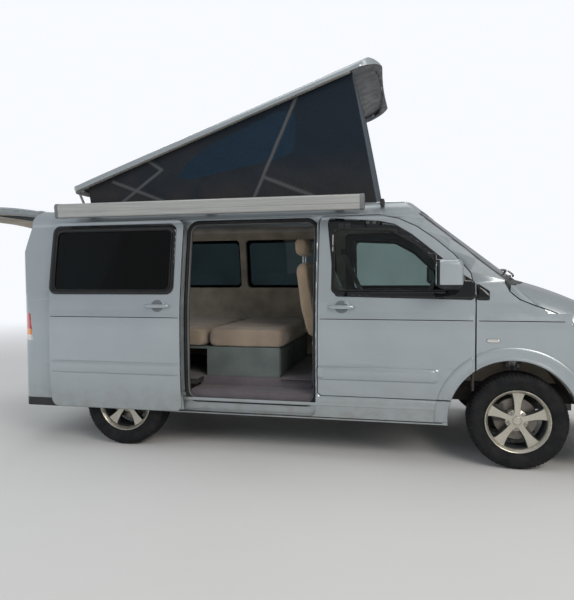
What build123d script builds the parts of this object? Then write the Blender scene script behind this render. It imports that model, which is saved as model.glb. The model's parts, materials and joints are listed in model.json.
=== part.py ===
from build123d import *
from math import atan2, cos, degrees, hypot, radians, sin, sqrt
import os

os.makedirs("parts", exist_ok=True)

# Camper van in millimetres. +X is forward, +Y is the van's left, +Z is up, and the tyres stand on Z = 0.
# Stations are measured forward from the front axle.

# Overall sizes
wheelbase = 3000
front_overhang = 894
rear_overhang = 996
body_half_width = 942
track = 1628

# Body walls and shut lines
wall = 60
skin = 25
shut_gap = 7
rebate = 18
inner_clearance = 17
door_skin_depth = 20
seat_clearance = 0.3
pin_clearance = 0.05
sill_bottom = 290
bumper_bottom = 235
floor_top = 539
floor_thickness = 40
roof_deck = 1928
crown = 12

# Windscreen: a cylinder that leans back along the screen pillar
screen_foot_station = 122
screen_foot_height = 1300
screen_radius = 2300
screen_run = 637
screen_rise = 500
glass_depth = 4
glass_thickness = 6

# Bonnet and nose
bonnet_rear_station = 60
bonnet_rear_height = 1335
bonnet_front_station = 740
bonnet_front_height = 1050
bonnet_bulge = 27
bonnet_lead = 8
bonnet_sweep = 45
nose_break_height = 690
nose_top_height = 1450
nose_lean = 0.27

# Rear door: hinge line on the roof edge, and how far it stands open
gate_hinge_station = -3820
gate_hinge_height = 1918
gate_bottom = 842
gate_open = 84
gate_half_width_top = 640
gate_half_width_belt = 735

# Front doors
door_rear_station = -1412
door_front_station = -288
door_bottom = 470
door_top = 1812

# Sliding door, stored open
slide_front_station = -1425
slide_rear_station = -2470
slide_bottom = 304
slide_top = 1812
slide_travel = 1037
slide_out = 74
opening_bottom = 402

# Wheels and arches
tyre_radius = 338
tyre_width = 215
axle_height = tyre_radius
rim_radius = 205
rim_lip = 222
arch_radius = 436
arch_station = -40
rear_arch_radius = 425
flare_out = 10
spoke_count = 5
spoke_turn = 16
steer_inset = 60

# Raised roof: the panel, its rear links and its front struts
roof_panel_rear = -3645
roof_panel_break = -1040
roof_panel_nose = -905
roof_panel_half_width = 748
roof_panel_thickness = 30
roof_panel_top = 1990
roof_rim_depth = 55
roof_tilt = 19.35
link_base_station = -3460
link_base_height = 1946
link_length = 160
link_swing = 66
strut_base_station = -1958
strut_length = 800
strut_swing = 64.4
strut_offset = 655
roof_hole_front = -1180
roof_hole_rear = -3330
roof_hole_half_width = 600

# Awning case on the right-hand roof rail
awning_front = -1062
awning_rear = -3500
awning_bottom = 1832
awning_top = 1942
awning_inner = -925
awning_outer = -1050

# Rear door's reach when open fixes where the front axle lies, so that the whole van is centred on X = 0
gate_reach = 4901.2
front_axle_x = (gate_reach - front_overhang) / 2


def st(station):
    return front_axle_x + station


side_plane = Plane(origin=(0, 0, 0), x_dir=(1, 0, 0), z_dir=(0, -1, 0))
end_plane = Plane(origin=(0, 0, 0), x_dir=(0, 1, 0), z_dir=(1, 0, 0))


def closed_face(rows, inset=0):
    # a row (u, v) ends a straight side, and (u, v, mu, mv) an arc that passes through its middle point
    rows = pulled_in(rows, inset) if inset else rows
    sides = []
    for before, now in zip(rows[-1:] + rows[:-1], rows):
        if len(now) == 4:
            sides.append(ThreePointArc(before[:2], now[2:], now[:2]))
        else:
            sides.append(Line(before[:2], now[:2]))
    return make_face(sides)


def pulled_in(rows, inset):
    # the same outline moved inwards: each point and arc middle goes along the bisector of its two sides
    points = []
    for row in rows:
        points += [row[2:], row[:2]] if len(row) == 4 else [row]
    count = len(points)
    area = sum(points[i - 1][0] * points[i][1] - points[i][0] * points[i - 1][1] for i in range(count))
    turn = inset if area > 0 else -inset
    moved = {}
    for i, point in enumerate(points):
        before = points[i - 1]
        after = points[(i + 1) % count]
        normals = []
        for a, b in ((before, point), (point, after)):
            length = hypot(b[0] - a[0], b[1] - a[1])
            normals.append(((a[1] - b[1]) / length, (b[0] - a[0]) / length))
        (au, av), (bu, bv) = normals
        share = turn / (1 + au * bu + av * bv)
        moved[point] = (point[0] + share * (au + bu), point[1] + share * (av + bv))
    return [moved[row[:2]] + (moved[row[2:]] if len(row) == 4 else ()) for row in rows]


def rounded(points, radius):
    return make_face(FilletPolyline(*points, radius=radius, close=True))


def across(face, low, high):
    # a side view (station, height) carried along Y from low to high
    moved = Pos(front_axle_x, low, 0) * (side_plane * face)
    return extrude(moved, amount=high - low, dir=(0, 1, 0))


def along(face, low, high):
    # an end view (y, height) carried along X from station low to station high
    return extrude(Pos(st(low), 0, 0) * (end_plane * face), amount=high - low, dir=(1, 0, 0))


def upward(face, low, high):
    # a plan view (station, y) carried along Z
    return extrude(Pos(front_axle_x, 0, low) * face, amount=high - low, dir=(0, 0, 1))


def block(x, y, z):
    # a box from (low, high) pairs, with x as stations
    size = (x[1] - x[0], y[1] - y[0], z[1] - z[0])
    return Pos(st(sum(x) / 2), sum(y) / 2, sum(z) / 2) * Box(*size)


def both_sides(rows):
    # a half outline from the bottom middle to the top middle, closed by its mirror image
    other = []
    for before, now in zip(rows[:-1], rows[1:]):
        middle = (-now[2], now[3]) if len(now) == 4 else ()
        other.append((-before[0], before[1]) + middle)
    return rows[1:] + other[::-1]


# Cross-section of the body: sill, barrel side, leaning glasshouse, roof edge
body_section = both_sides([
    (0, 150),
    (880, 150),
    (body_half_width, 760, body_half_width - 9, 480),
    (932, 1170, body_half_width, 970),
    (832, 1780, 885, 1480),
    (742, roof_deck - 12, 806, 1880),
    (0, roof_deck + crown, 372, roof_deck + 6),
])

# Cross-section of the bonnet, carried along an arc down to the nose
bonnet_section = both_sides([
    (0, 0),
    (980, 0),
    (980, 985),
    (940, 1130, 968, 1062),
    (700, 1290, 860, 1240),
    (0, bonnet_rear_height, 350, 1324),
])

main_profile = [
    (260, 150),
    (-3900, 150),
    (-3900, 290),
    (-rear_overhang - wheelbase, 420, -3978, 330),
    (-rear_overhang - wheelbase + 4, 830),
    (-3952, 1300, -3985, 1080),
    (-3858, 1800, -3915, 1560),
    (-3720, roof_deck + crown, -3812, 1908),
    (-700, roof_deck + crown, -2400, roof_deck + crown + 10),
    (260, roof_deck + crown),
]

plan_rear = [
    (300, -960),
    (300, 960),
    (-3700, 960),
    (-3950, 770, -3893, 893),
    (-3950, -770, -rear_overhang - wheelbase, 0),
    (-3700, -960, -3893, -893),
]

plan_front = [
    (-900, -960),
    (330, -960),
    (790, -640, 655, -850),
    (790, 640, front_overhang, 0),
    (330, 960, 655, 850),
    (-900, 960),
]


def screen_back(inset):
    # everything behind the windscreen's outer face
    slant = hypot(screen_run, screen_rise)
    foot = screen_foot_station - inset * slant / screen_rise
    low = 250
    start = foot + (screen_foot_height - low) * screen_run / screen_rise
    reach = 1150
    sag = screen_radius - sqrt(screen_radius ** 2 - reach ** 2)
    face = closed_face([
        (start - 9000, -reach),
        (start - sag, -reach),
        (start - sag, reach, start, 0),
        (start - 9000, reach),
    ])
    rise = 2300
    lean = (-screen_run, 0, screen_rise)
    return extrude(Pos(front_axle_x, 0, low) * face, amount=rise * slant / screen_rise, dir=lean)


def nose(inset):
    face = closed_face(plan_front, inset)
    low = upward(face, 100, nose_break_height)
    rise = nose_top_height - nose_break_height
    lean = (-nose_lean, 0, 1)
    upper = extrude(
        Pos(front_axle_x, 0, nose_break_height) * face, amount=rise * hypot(nose_lean, 1), dir=lean
    )
    return low + upper


def bonnet_arc():
    # centre and radius of the bonnet's line, as a station and a height
    run = bonnet_front_station - bonnet_rear_station
    fall = bonnet_rear_height - bonnet_front_height
    chord = hypot(run, fall)
    radius = chord ** 2 / (8 * bonnet_bulge) + bonnet_bulge / 2
    reach = sqrt(radius ** 2 - (chord / 2) ** 2)
    mid_station = (bonnet_rear_station + bonnet_front_station) / 2
    mid_height = (bonnet_rear_height + bonnet_front_height) / 2
    return mid_station - reach * fall / chord, mid_height - reach * run / chord, radius


def bonnet_body(inset):
    centre, height, radius = bonnet_arc()
    face = Pos(st(bonnet_rear_station), 0, 0) * (end_plane * closed_face(bonnet_section, inset))
    start = degrees(atan2(bonnet_rear_height - height, bonnet_rear_station - centre))
    # the section stands square to the arc, and the sweep starts a little behind it
    face = face.rotate(Axis((st(bonnet_rear_station), 0, bonnet_rear_height), (0, 1, 0)), 90 - start)
    face = face.rotate(Axis((st(centre), 0, height), (0, -1, 0)), bonnet_lead)
    return revolve(face, axis=Axis((st(centre), 0, height), (0, 1, 0)), revolution_arc=bonnet_sweep)


def body_form(inset):
    rear = across(
        closed_face(main_profile, inset), -1000, 1000
    ) & upward(closed_face(plan_rear, inset), 0, 2200)
    section = along(closed_face(body_section, inset), -rear_overhang - wheelbase - 50, front_overhang + 50)
    rear = (rear & section) & screen_back(inset)
    front = (nose(inset) & section) & bonnet_body(inset)
    return rear + front


form_depths = (-flare_out, 0, glass_depth, glass_depth + glass_thickness, door_skin_depth, skin, wall)
form = {inset: body_form(inset) for inset in form_depths}

sill_inner = 802
parts = {}


def arch(radius, station, low, high):
    # a cylinder along Y at a wheel arch
    return across(Pos(station, axle_height) * Circle(radius), low, high)


housing_inner = 492
arches = []
for radius, station in ((arch_radius, arch_station), (rear_arch_radius, -wheelbase)):
    for low, high in ((housing_inner, 1000), (-1000, -housing_inner)):
        arches.append(arch(radius, station, low, high))
arch_cut = arches[0] + arches[1:]

under_floor = block((-4100, 300), (-sill_inner, sill_inner), (0, floor_top))
under_nose = block((300, 900), (-820, 820), (0, 300)) & nose(wall)
below_sill = block((-4100, arch_station), (-1000, 1000), (0, sill_bottom))
hollow = form[wall] + under_floor + under_nose

outer = form[0] - form[skin] - under_floor - under_nose - arch_cut - below_sill
inner = form[skin] - hollow - arch_cut - below_sill

# Side outlines (station, height), each with its corner radii
front_door_outline = [
    (door_rear_station, door_bottom),
    (door_front_station, door_bottom),
    (door_front_station, 1190),
    (-317, 1379),
    (-437, 1521),
    (-562, 1629),
    (-693, 1723),
    (-825, 1786),
    (-960, door_top),
    (door_rear_station, door_top),
]
front_door_radii = [30, 5, 40, 60, 60, 60, 60, 60, 60, 45]
front_window_outline = [
    (-1310, 1232),
    (-430, 1232),
    (-470, 1395),
    (-690, 1610),
    (-880, 1715),
    (-1310, 1735),
]
front_window_radii = [35, 40, 60, 120, 90, 40]
slide_outline = [
    (slide_rear_station - 96, slide_bottom),
    (slide_front_station, slide_bottom),
    (slide_front_station, slide_top),
    (slide_rear_station - 96, slide_top),
]
slide_hole_outline = [
    (slide_rear_station + 22, opening_bottom),
    (slide_front_station - 14, opening_bottom),
    (slide_front_station - 14, 1778),
    (slide_rear_station + 22, 1778),
]
slide_window_outline = [(-2548, 1237), (-1490, 1237), (-1490, 1748), (-2548, 1748)]
left_window_outline = [(-2470, 1237), (-1490, 1237), (-1490, 1748), (-2470, 1748)]
rear_window_outline = [(-3560, 1237), (-2640, 1237), (-2640, 1748), (-3560, 1748)]
left_rear_window_outline = [(-3560, 1237), (-2535, 1237), (-2535, 1748), (-3560, 1748)]
window_radius = 45


def through(points, radius, side, inset=0):
    # a side outline as a cutter through one wall; side is 1 for the left and -1 for the right
    low, high = sorted((side * 500, side * 1100))
    return across(rounded(pulled_in(points, inset), radius), low, high)


def pane(points, radius, side):
    cut = through(points, radius, side, seat_clearance)
    return (form[glass_depth] & cut) - form[glass_depth + glass_thickness]


# Front door hinges: a barrel on each pillar, between two knuckles and on the pin of the door
door_hinge_station = -307
door_hinge_y = 930
barrel_radius = 8
hinge_pin_radius = 4
hinge_gap = 0.5
knuckle_length = 24
hinge_bands = [(575, 660), (985, 1070)]
swing_radius = 22
swing_bottom = 440
swing_top = 1260
corner_room = block(
    (-329, door_front_station),
    (-1000, 1000),
    (swing_bottom, swing_top),
) & form[glass_depth + glass_thickness]


def hinge_post(side, radius, low, high):
    # an upright cylinder on a front door's hinge line
    return Pos(st(door_hinge_station), side * door_hinge_y, (low + high) / 2) * Cylinder(radius, high - low)


sides = {1: "left", -1: "right"}
for side, name in sides.items():
    skin_cut = through(front_door_outline, front_door_radii, side)
    hole_cut = through(front_door_outline, front_door_radii, side, rebate)
    window = through(front_window_outline, front_window_radii, side)
    door_skin = (
        outer & through(front_door_outline, front_door_radii, side, shut_gap)
    ) - form[door_skin_depth]
    door_frame = (outer + inner) & through(
        front_door_outline, front_door_radii, side, rebate + inner_clearance
    )
    strip = through([(-1405, 612), (-560, 612), (-530, 640), (-560, 692), (-1405, 692)], 8, side)
    strip = (form[-flare_out] - form[0]) & strip
    door = (door_skin + door_frame - window + strip) - corner_room
    for low, high in hinge_bands:
        door = door - hinge_post(side, barrel_radius + hinge_gap, low - hinge_gap, high + hinge_gap)
        door = door + hinge_post(side, barrel_radius, low - knuckle_length, low - hinge_gap)
        door = door + hinge_post(side, barrel_radius, high + hinge_gap, high + knuckle_length)
        door = door + hinge_post(side, hinge_pin_radius, low - knuckle_length, high + knuckle_length)
    parts["front_door_" + name] = door
    parts["front_door_glass_" + name] = pane(front_window_outline, front_window_radii, side)
    outer = outer - skin_cut
    inner = inner - hole_cut - hinge_post(side, swing_radius, swing_bottom, swing_top)

# Sliding door, carried rearward and outward to where it stands open
slide_move = Pos(-slide_travel, -slide_out, 0)
slide_skin = (form[0] - form[door_skin_depth]) & through(slide_outline, 60, -1, shut_gap)
slide_inner = (form[0] - form[wall]) & through(slide_hole_outline, 70, -1, 25)
slide_window = through(slide_window_outline, window_radius, -1)
slide_cavity = block((-2700, -1400), (-sill_inner, 0), (0, floor_top))
parts["sliding_door"] = slide_move * (slide_skin + slide_inner - slide_window - slide_cavity)
parts["sliding_door_glass"] = slide_move * pane(slide_window_outline, window_radius, -1)
outer = outer - through(slide_outline, 60, -1)
inner = inner - through(slide_hole_outline, 70, -1)

# Fixed side windows
fixed_windows = [
    ("rear_window_right", rear_window_outline, -1),
    ("rear_window_left", left_rear_window_outline, 1),
    ("side_window_left", left_window_outline, 1),
]
fixed_glass = []
for name, points, side in fixed_windows:
    cut = through(points, window_radius, side)
    outer = outer - cut
    inner = inner - cut
    fixed_glass.append(pane(points, window_radius, side))
parts["side_glass"] = Compound(children=fixed_glass)

# Windscreen
screen_outline = [(-840, 1352), (840, 1352), (705, 1850), (-705, 1850)]
screen_cut = along(rounded(screen_outline, 70), -1050, 300)
outer = outer - screen_cut
inner = inner - screen_cut
screen_pane = along(rounded(pulled_in(screen_outline, seat_clearance), 70), -1050, 300)
parts["windscreen"] = (form[glass_depth] & screen_pane) - form[glass_depth + glass_thickness]

# Rear door, modelled shut and then swung up
gate_outline = [
    (-gate_half_width_belt + 25, gate_bottom),
    (gate_half_width_belt - 25, gate_bottom),
    (gate_half_width_belt, 1250),
    (gate_half_width_top, 1893),
    (-gate_half_width_top, 1893),
    (-gate_half_width_belt, 1250),
]
gate_radii = [60, 60, 200, 70, 70, 200]
gate_window_outline = [(-585, 1285), (585, 1285), (532, 1786), (-532, 1786)]


def from_rear(points, radius, inset=0):
    return along(rounded(pulled_in(points, inset), radius), -4100, -3650)


gate_skin = (form[0] & from_rear(gate_outline, gate_radii, shut_gap)) - form[door_skin_depth]
gate_inner = (form[0] & from_rear(gate_outline, gate_radii, rebate + inner_clearance)) - form[wall]
gate_window = from_rear(gate_window_outline, 60)
gate_axis = Axis((st(gate_hinge_station), 0, gate_hinge_height), (0, 1, 0))
rear_glass = form[glass_depth] & from_rear(gate_window_outline, 60, seat_clearance)
rear_glass = rear_glass - form[glass_depth + glass_thickness]
gate_hinge_y = 450
lug_half = 16


def on_gate_axis(radius, low, high):
    # a cylinder on the tailgate's hinge line
    return across(Pos(gate_hinge_station, gate_hinge_height) * Circle(radius), low, high)


gate = gate_skin + gate_inner - gate_window
for y in (-gate_hinge_y, gate_hinge_y):
    for low, high in ((y - 42, y - lug_half - hinge_gap), (y + lug_half + hinge_gap, y + 42)):
        tongue = block(
            (gate_hinge_station - 9, gate_hinge_station + 9),
            (low, high),
            (1878, gate_hinge_height),
        )
        gate = gate + on_gate_axis(9, low, high) + tongue
    gate = gate + on_gate_axis(hinge_pin_radius, y - 42, y + 42)
parts["tailgate"] = gate.rotate(gate_axis, gate_open)
parts["tailgate_glass"] = rear_glass.rotate(gate_axis, gate_open)
outer = outer - from_rear(gate_outline, gate_radii)
inner = inner - from_rear(gate_outline, gate_radii, rebate)

# Bonnet, cowl, wings, lamps, grille and bumpers, cut from the front of the form along its real seams
seam = [
    (-100, 1309),
    (-68, 1247),
    (-4, 1192),
    (92, 1152),
    (187, 1119),
    (280, 1079),
    (322, 1060),
    (342, 1010),
]
lamp_top = 985
lamp_bottom = 726
lamp_rear = 430
lamp_inner = 430
above_seam = seam + [(360, lamp_top), (1000, lamp_top), (1000, 1500), (-100, 1500)]
bonnet_edge = closed_face([
    (1000, -1000),
    (1000, 1000),
    (-75, 1000),
    (-75, 930),
    (-75, -930, 142, 0),
    (-75, -1000),
])
front_gap = seat_clearance
bonnet_gap = shut_gap - seat_clearance
ahead = upward(bonnet_edge, 700, 1500)
bonnet_zone = across(make_face(Polyline(*pulled_in(above_seam, bonnet_gap), close=True)), -1000, 1000)
parts["bonnet"] = outer & bonnet_zone & (Pos(shut_gap, 0, 0) * ahead)
cowl_zone = across(
    make_face(Polyline(*above_seam, close=True)), -1000, 1000
) & block((-100, 400), (-1000, 1000), (1200, 1500))
cowl_zone = cowl_zone & screen_back(-400)
parts["cowl"] = (outer & cowl_zone) - ahead

wing_outline = [
    (door_front_station + 3, 200),
    (door_front_station + 3, 1309),
] + [(u, v) for u, v in seam] + [
    (360, lamp_top),
    (lamp_rear, lamp_top),
    (480, 800),
    (565, lamp_bottom),
    (336, 690),
    (284, 640),
    (240, 200),
]
for side, name in sides.items():
    low, high = sorted((0, side * 1100))
    zone = across(make_face(Polyline(*pulled_in(wing_outline, front_gap), close=True)), low, high)
    parts["front_wing_" + name] = outer & zone

# Everything ahead of the wings and below the bonnet: bumper, grille and headlamps
nose_shell = (
    form[0] & block((200, 950), (-1000, 1000), (bumper_bottom, lamp_top))
) - form[wall] - under_nose - arch_cut
bumper_outline = [
    (240, 200),
    (284, 640),
    (336, 690),
    (565, lamp_bottom),
    (1000, lamp_bottom),
    (1000, 200),
]


def from_front(points, radius, inset=0):
    return along(rounded(pulled_in(points, inset), radius), 380, 1000)


air_slots = [
    [(-400, 300), (400, 300), (440, 420), (-440, 420)],
    [(-420, 590), (420, 590), (400, 668), (-400, 668)],
    [(500, 330), (690, 330), (670, 430), (510, 430)],
    [(-690, 330), (-500, 330), (-510, 430), (-670, 430)],
]
bumper = nose_shell & across(
    make_face(Polyline(*pulled_in(bumper_outline, front_gap), close=True)), -1000, 1000
)
for slot in air_slots:
    bumper = bumper - from_front(slot, 18)
parts["front_bumper"] = bumper

lamp_zone = [
    (lamp_rear, lamp_top),
    (480, 800),
    (565, lamp_bottom),
    (1000, lamp_bottom),
    (1000, lamp_top),
]
nose_band = across(make_face(Polyline(*pulled_in(lamp_zone, front_gap), close=True)), -1000, 1000)
band = nose_shell & nose_band
lamps = []
for side in sides:
    low, high = sorted((side * (lamp_inner + seat_clearance), side * 1000))
    lamps.append(band & block((380, 1000), (low, high), (0, 1100)))
parts["headlamps"] = Compound(children=lamps)

grille = band & block((380, 1000), (-lamp_inner, lamp_inner), (0, 1100))
grille_bars = 4
bar_pitch = (lamp_top - lamp_bottom - 30) / grille_bars
for i in range(grille_bars):
    low = lamp_bottom + 18 + i * bar_pitch
    grille = grille - block((380, 1000), (-lamp_inner + 25, lamp_inner - 25), (low, low + bar_pitch - 22))
parts["grille"] = grille

# Rear bumper and tail lamps
rear_zone = [
    (-4100, 832),
    (-4100, 200),
    (-3572, 200),
    (-3572, 640),
    (-3770, 650),
    (-3790, 832),
]
rear_shell = form[0] & block((-4100, -3500), (-1000, 1000), (sill_bottom, 1100))
rear_shell = rear_shell - form[wall] - block(
    (-3920, -3500),
    (-sill_inner, sill_inner),
    (0, floor_top),
) - arch_cut
rear_bumper_cut = across(make_face(Polyline(*rear_zone, close=True)), -1000, 1000)
parts["rear_bumper"] = rear_shell & across(
    make_face(Polyline(*pulled_in(rear_zone, seat_clearance), close=True)), -1000, 1000
)

lamp_box = [(-4100, 838), (-3800, 838), (-3822, 1062), (-4100, 1062)]
tail_lamps = []
lamp_cuts = []
for side in sides:
    low, high = sorted((side * (gate_half_width_belt + 8), side * 1000))
    for holder, inset in ((tail_lamps, seat_clearance), (lamp_cuts, 0)):
        holder.append(across(make_face(Polyline(*pulled_in(lamp_box, inset), close=True)), low, high))
parts["tail_lamps"] = Compound(children=[rear_shell & lamp for lamp in tail_lamps])

# What is left of the shell: the two body sides and the roof frame, which meet at a level joint
roof_joint = 1822
rest = (outer + inner) - rear_bumper_cut - lamp_cuts
hole_face = RectangleRounded(roof_hole_front - roof_hole_rear, 2 * roof_hole_half_width, 90)
roof_hole = upward(Pos((roof_hole_front + roof_hole_rear) / 2, 0) * hole_face, 1700, 2100)
limit_outline = [
    (-4100, 0),
    (door_front_station, 0),
    (door_front_station, 1309),
    (-100 - seat_clearance, 1309),
    (-100 - seat_clearance, 2100),
    (-4100, 2100),
]
front_limit = across(make_face(Polyline(*limit_outline, close=True)), -1000, 1000)
shell_zone = rest & front_limit
for side, name in sides.items():
    low, high = sorted((0, side * 1000))
    body_side = shell_zone & block((-4100, 300), (low, high), (sill_bottom, roof_joint))
    for bottom, top in hinge_bands:
        foot = block(
            (door_hinge_station - 9, door_hinge_station + 11),
            sorted((side * 880, side * 905)),
            (bottom, top),
        )
        arm = block(
            (door_hinge_station - 6, door_hinge_station),
            sorted((side * 895, side * 926)),
            (bottom, top),
        )
        barrel = foot + arm + hinge_post(side, barrel_radius, bottom, top)
        body_side = body_side + (
            barrel - hinge_post(side, hinge_pin_radius + pin_clearance, bottom - 1, top + 1)
        )
    parts["body_side_" + name] = body_side

# Sliding door rail under the rear window, with the two carriers that hold the open door
rail_strip = through([(-3640, 1192), (-2590, 1192), (-2590, 1212), (-3640, 1212)], 4, -1)
rail_strip = (form[-flare_out] - form[0]) & rail_strip
carriers = block(
    (-3430, -3370),
    (-960, -915),
    (1188, 1216),
) + block((-2640, -2580), (-960, -915), (1188, 1216))
parts["body_side_right"] = parts["body_side_right"] + rail_strip + (carriers - parts["sliding_door"])

# Roof frame, with room for the tailgate's knuckles and a lug for each of its pins
roof = (shell_zone & block((-4100, 300), (-1000, 1000), (roof_joint, 2000))) - roof_hole
for y in (-gate_hinge_y, gate_hinge_y):
    for low, high in ((y - 45, y - lug_half - seat_clearance), (y + lug_half + seat_clearance, y + 45)):
        roof = roof - block((-3860, -3798), (low, high), (1860, 1960))
    lug = block(
        (gate_hinge_station - 9, gate_hinge_station + 15),
        (y - lug_half, y + lug_half),
        (1897, gate_hinge_height),
    )
    roof = roof + (
        (
            lug + on_gate_axis(9, y - lug_half, y + lug_half)
        ) - on_gate_axis(hinge_pin_radius + pin_clearance, y - 20, y + 20)
    )
parts["roof_frame"] = roof


def mirrored(shapes):
    return shapes + [mirror(shape, about=Plane.XZ) for shape in shapes]


def solids_of(shapes):
    return Compound(children=[solid for shape in shapes for solid in shape.solids()])


# Floor: a plate with the sliding door's step cut out, two chassis rails, and the wheel housings on it
floor_bottom = floor_top - floor_thickness
floor_front = -60
rail_inner = 395
rail_outer = 475
rail_depth = 110
rail_front = 700
floor_rear = -3905
step_depth = 70
floor = block((floor_rear, floor_front), (-sill_inner, sill_inner), (floor_bottom, floor_top))
for side in sides:
    low, high = sorted((side * rail_inner, side * rail_outer))
    floor = floor + block(
        (floor_rear + 40, rail_front),
        (low, high),
        (floor_bottom - rail_depth, floor_bottom),
    )
floor = floor + block((-1180, -1100), (-sill_inner, sill_inner), (floor_bottom - 90, floor_bottom))
step = block(
    (slide_rear_station + 60, slide_front_station - 50),
    (-sill_inner, -sill_inner + 150),
    (floor_top - step_depth, floor_top),
)
floor = (floor - arch_cut) - step
socket_height = floor_bottom - rail_depth / 2
socket_y = -(rail_inner + rail_outer) / 2
socket_front = 760
socket_length = 45
flap_radius = 16
parts["front_bumper"] = parts["front_bumper"] - along(
    Pos(socket_y, socket_height) * Circle(flap_radius), 560, 1000
)
socket_radius = 9
socket = block(
    (rail_front, socket_front),
    (-rail_outer + 10, -rail_inner - 10),
    (socket_height - 30, socket_height + 30),
)
socket_bore = Rot(0, 90, 0) * Cylinder(socket_radius, socket_length)
floor = (floor + socket) - Pos(st(socket_front - socket_length / 2), socket_y, socket_height) * socket_bore
housing_wall = 6
housings = []
for radius, station in ((arch_radius, arch_station), (rear_arch_radius, -wheelbase)):
    hoop = arch(radius, station, housing_inner, 878) - arch(
        radius - housing_wall, station, housing_inner - 1, 900
    )
    cheek = arch(radius - housing_wall, station, housing_inner, housing_inner + housing_wall)
    housing = (hoop + cheek) & block((station - 500, station + 500), (0, 1000), (floor_bottom, 900))
    housings += mirrored([housing & form[wall]])
parts["floor"] = floor
parts["wheel_housings"] = solids_of(housings)

# Bulkhead between the engine bay and the cab
bulkhead = block((floor_front, floor_front + 25), (-890, 890), (430, 1285)) & body_form(wall)
bulkhead = bulkhead - arch_cut - block(
    (floor_front - 1, floor_front + 30),
    (-rail_outer, rail_outer),
    (0, floor_bottom),
)
parts["bulkhead"] = bulkhead

dash_edge = 20

# Dashboard: one profile across the cab, with a hood over the dials
dash_profile = [
    (floor_front - seat_clearance, 1240),
    (-130, 1262, -90, 1256),
    (-410, 1175, -280, 1240),
    (-452, 1090, -452, 1140),
    (-405, 905, -420, 1000),
    (-300, 820),
    (-260, 640),
    (floor_front - seat_clearance, 640),
]
dash = across(closed_face(dash_profile), -900, 900) & body_form(wall + dash_edge)
hood = across(closed_face([(-150, 1262), (-405, 1250, -260, 1302), (-440, 1180), (-150, 1180)]), 270, 600)
parts["dashboard"] = (dash + hood) - arch_cut

# Steering column and wheel
column_tilt = 28
wheel_centre = (-610, 430, 1130)
column_top = Plane(
    origin=(st(wheel_centre[0]), wheel_centre[1], wheel_centre[2]),
    x_dir=(0, 1, 0),
    z_dir=(-cos(radians(column_tilt)), 0, sin(radians(column_tilt))),
)
rim_centre = 185
rim_tube = 14
steering = column_top * Torus(rim_centre, rim_tube)
steering = steering + column_top * (Pos(0, 0, -22) * Cylinder(68, 44))
for angle in (0, 180, 270):
    spoke = Pos((rim_centre + 40) / 2, 0, -18) * Box(rim_centre - 40, 36, 16)
    steering = steering + column_top * (Rot(0, 0, angle) * spoke)
parts["steering_wheel"] = steering
column = column_top * (Pos(0, 0, -44.5 - 110) * Cylinder(42, 220))
parts["steering_column"] = column - parts["dashboard"]


def seat(side):
    # cushion, reclined back and head restraint on a pedestal
    low, high = side * seat_offset - seat_half_width, side * seat_offset + seat_half_width
    cushion = across(closed_face([
        (seat_station - 232, 800),
        (seat_station + 250, 790),
        (seat_station + 262, 862, seat_station + 262, 820),
        (seat_station + 205, 905, seat_station + 248, 898),
        (seat_station - 235, 868, seat_station, 876),
    ]), low, high)
    back = across(closed_face([
        (seat_station - 140, 905),
        (seat_station - 262, 1465, seat_station - 214, 1180),
        (seat_station - 335, 1478, seat_station - 300, 1492),
        (seat_station - 365, 1430),
        (seat_station - 268, 850, seat_station - 330, 1130),
        (seat_station - 160, 850),
    ]), low + 12, high - 12)
    restraint = across(closed_face([
        (seat_station - 380, 1530),
        (seat_station - 272, 1520),
        (seat_station - 282, 1672, seat_station - 262, 1600),
        (seat_station - 392, 1666, seat_station - 342, 1692),
    ]), low + 115, high - 115)
    whole = cushion + back + restraint
    for offset in (-55, 55):
        whole = whole + Pos(st(seat_station - 325), side * seat_offset + offset, 1500) * Cylinder(8, 80)
    pedestal = block((seat_station - 190, seat_station + 190), (low + 50, high - 50), (floor_top, 792))
    return whole + pedestal


seat_station = -1265
seat_offset = 480
seat_half_width = 255
parts["driver_seat"] = seat(1)
parts["passenger_seat"] = seat(-1)

# Rear bench, folded flat as a bed: grey base box, slatted board and three cushions
bench_front = -1771
bench_half_width = 640
bed_height = 780
parts["bench_base"] = block(
    (-2392, bench_front),
    (-bench_half_width + 20, bench_half_width - 20),
    (floor_top, bed_height),
)
cushion_top = 935
cushion_edges = [(-2392, -1735), (-3080, -2400), (-3790, -3088)]
pads = []
for low, high in cushion_edges:
    room = block(
        (low, high),
        (-bench_half_width, bench_half_width),
        (bed_height + seat_clearance, cushion_top),
    )
    pads.append(fillet(room.edges(), 35))
parts["bed_cushions"] = solids_of(pads)
board = block(
    (-3830, -2392 - seat_clearance),
    (-bench_half_width, bench_half_width),
    (bed_height - 16, bed_height),
)
legs = mirrored(
    [block((-3820, -3780), (bench_half_width - 60, bench_half_width - 20), (floor_top, bed_height - 16))]
)
parts["bed_platform"] = board + legs

# Under the body: engine block, radiator, fuel tank, exhaust
engine_half_width = rail_inner - seat_clearance
engine_top = 940
sump_bottom = 300
engine_seat = floor_bottom - rail_depth
engine = block((90, 600), (-engine_half_width, engine_half_width), (engine_seat, engine_top))
parts["engine"] = engine + block((210, 500), (-300, 300), (sump_bottom, engine_seat))
parts["radiator"] = block((640, 676), (-engine_half_width, engine_half_width), (360, 880))
parts["fuel_tank"] = fillet(
    block((-2250, -1250), (-370, 60), (300, floor_bottom - seat_clearance)).edges(), 30
)
silencer_radius = 95
silencer_height = floor_bottom - seat_clearance - silencer_radius
silencer = Pos(st(-2300), 230, silencer_height) * (Rot(0, 90, 0) * Cylinder(silencer_radius, 520))
pipe_front = Pos(st(-1220), 230, 375) * (Rot(0, 90, 0) * Cylinder(28, 1640))
parts["exhaust"] = silencer + pipe_front

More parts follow.
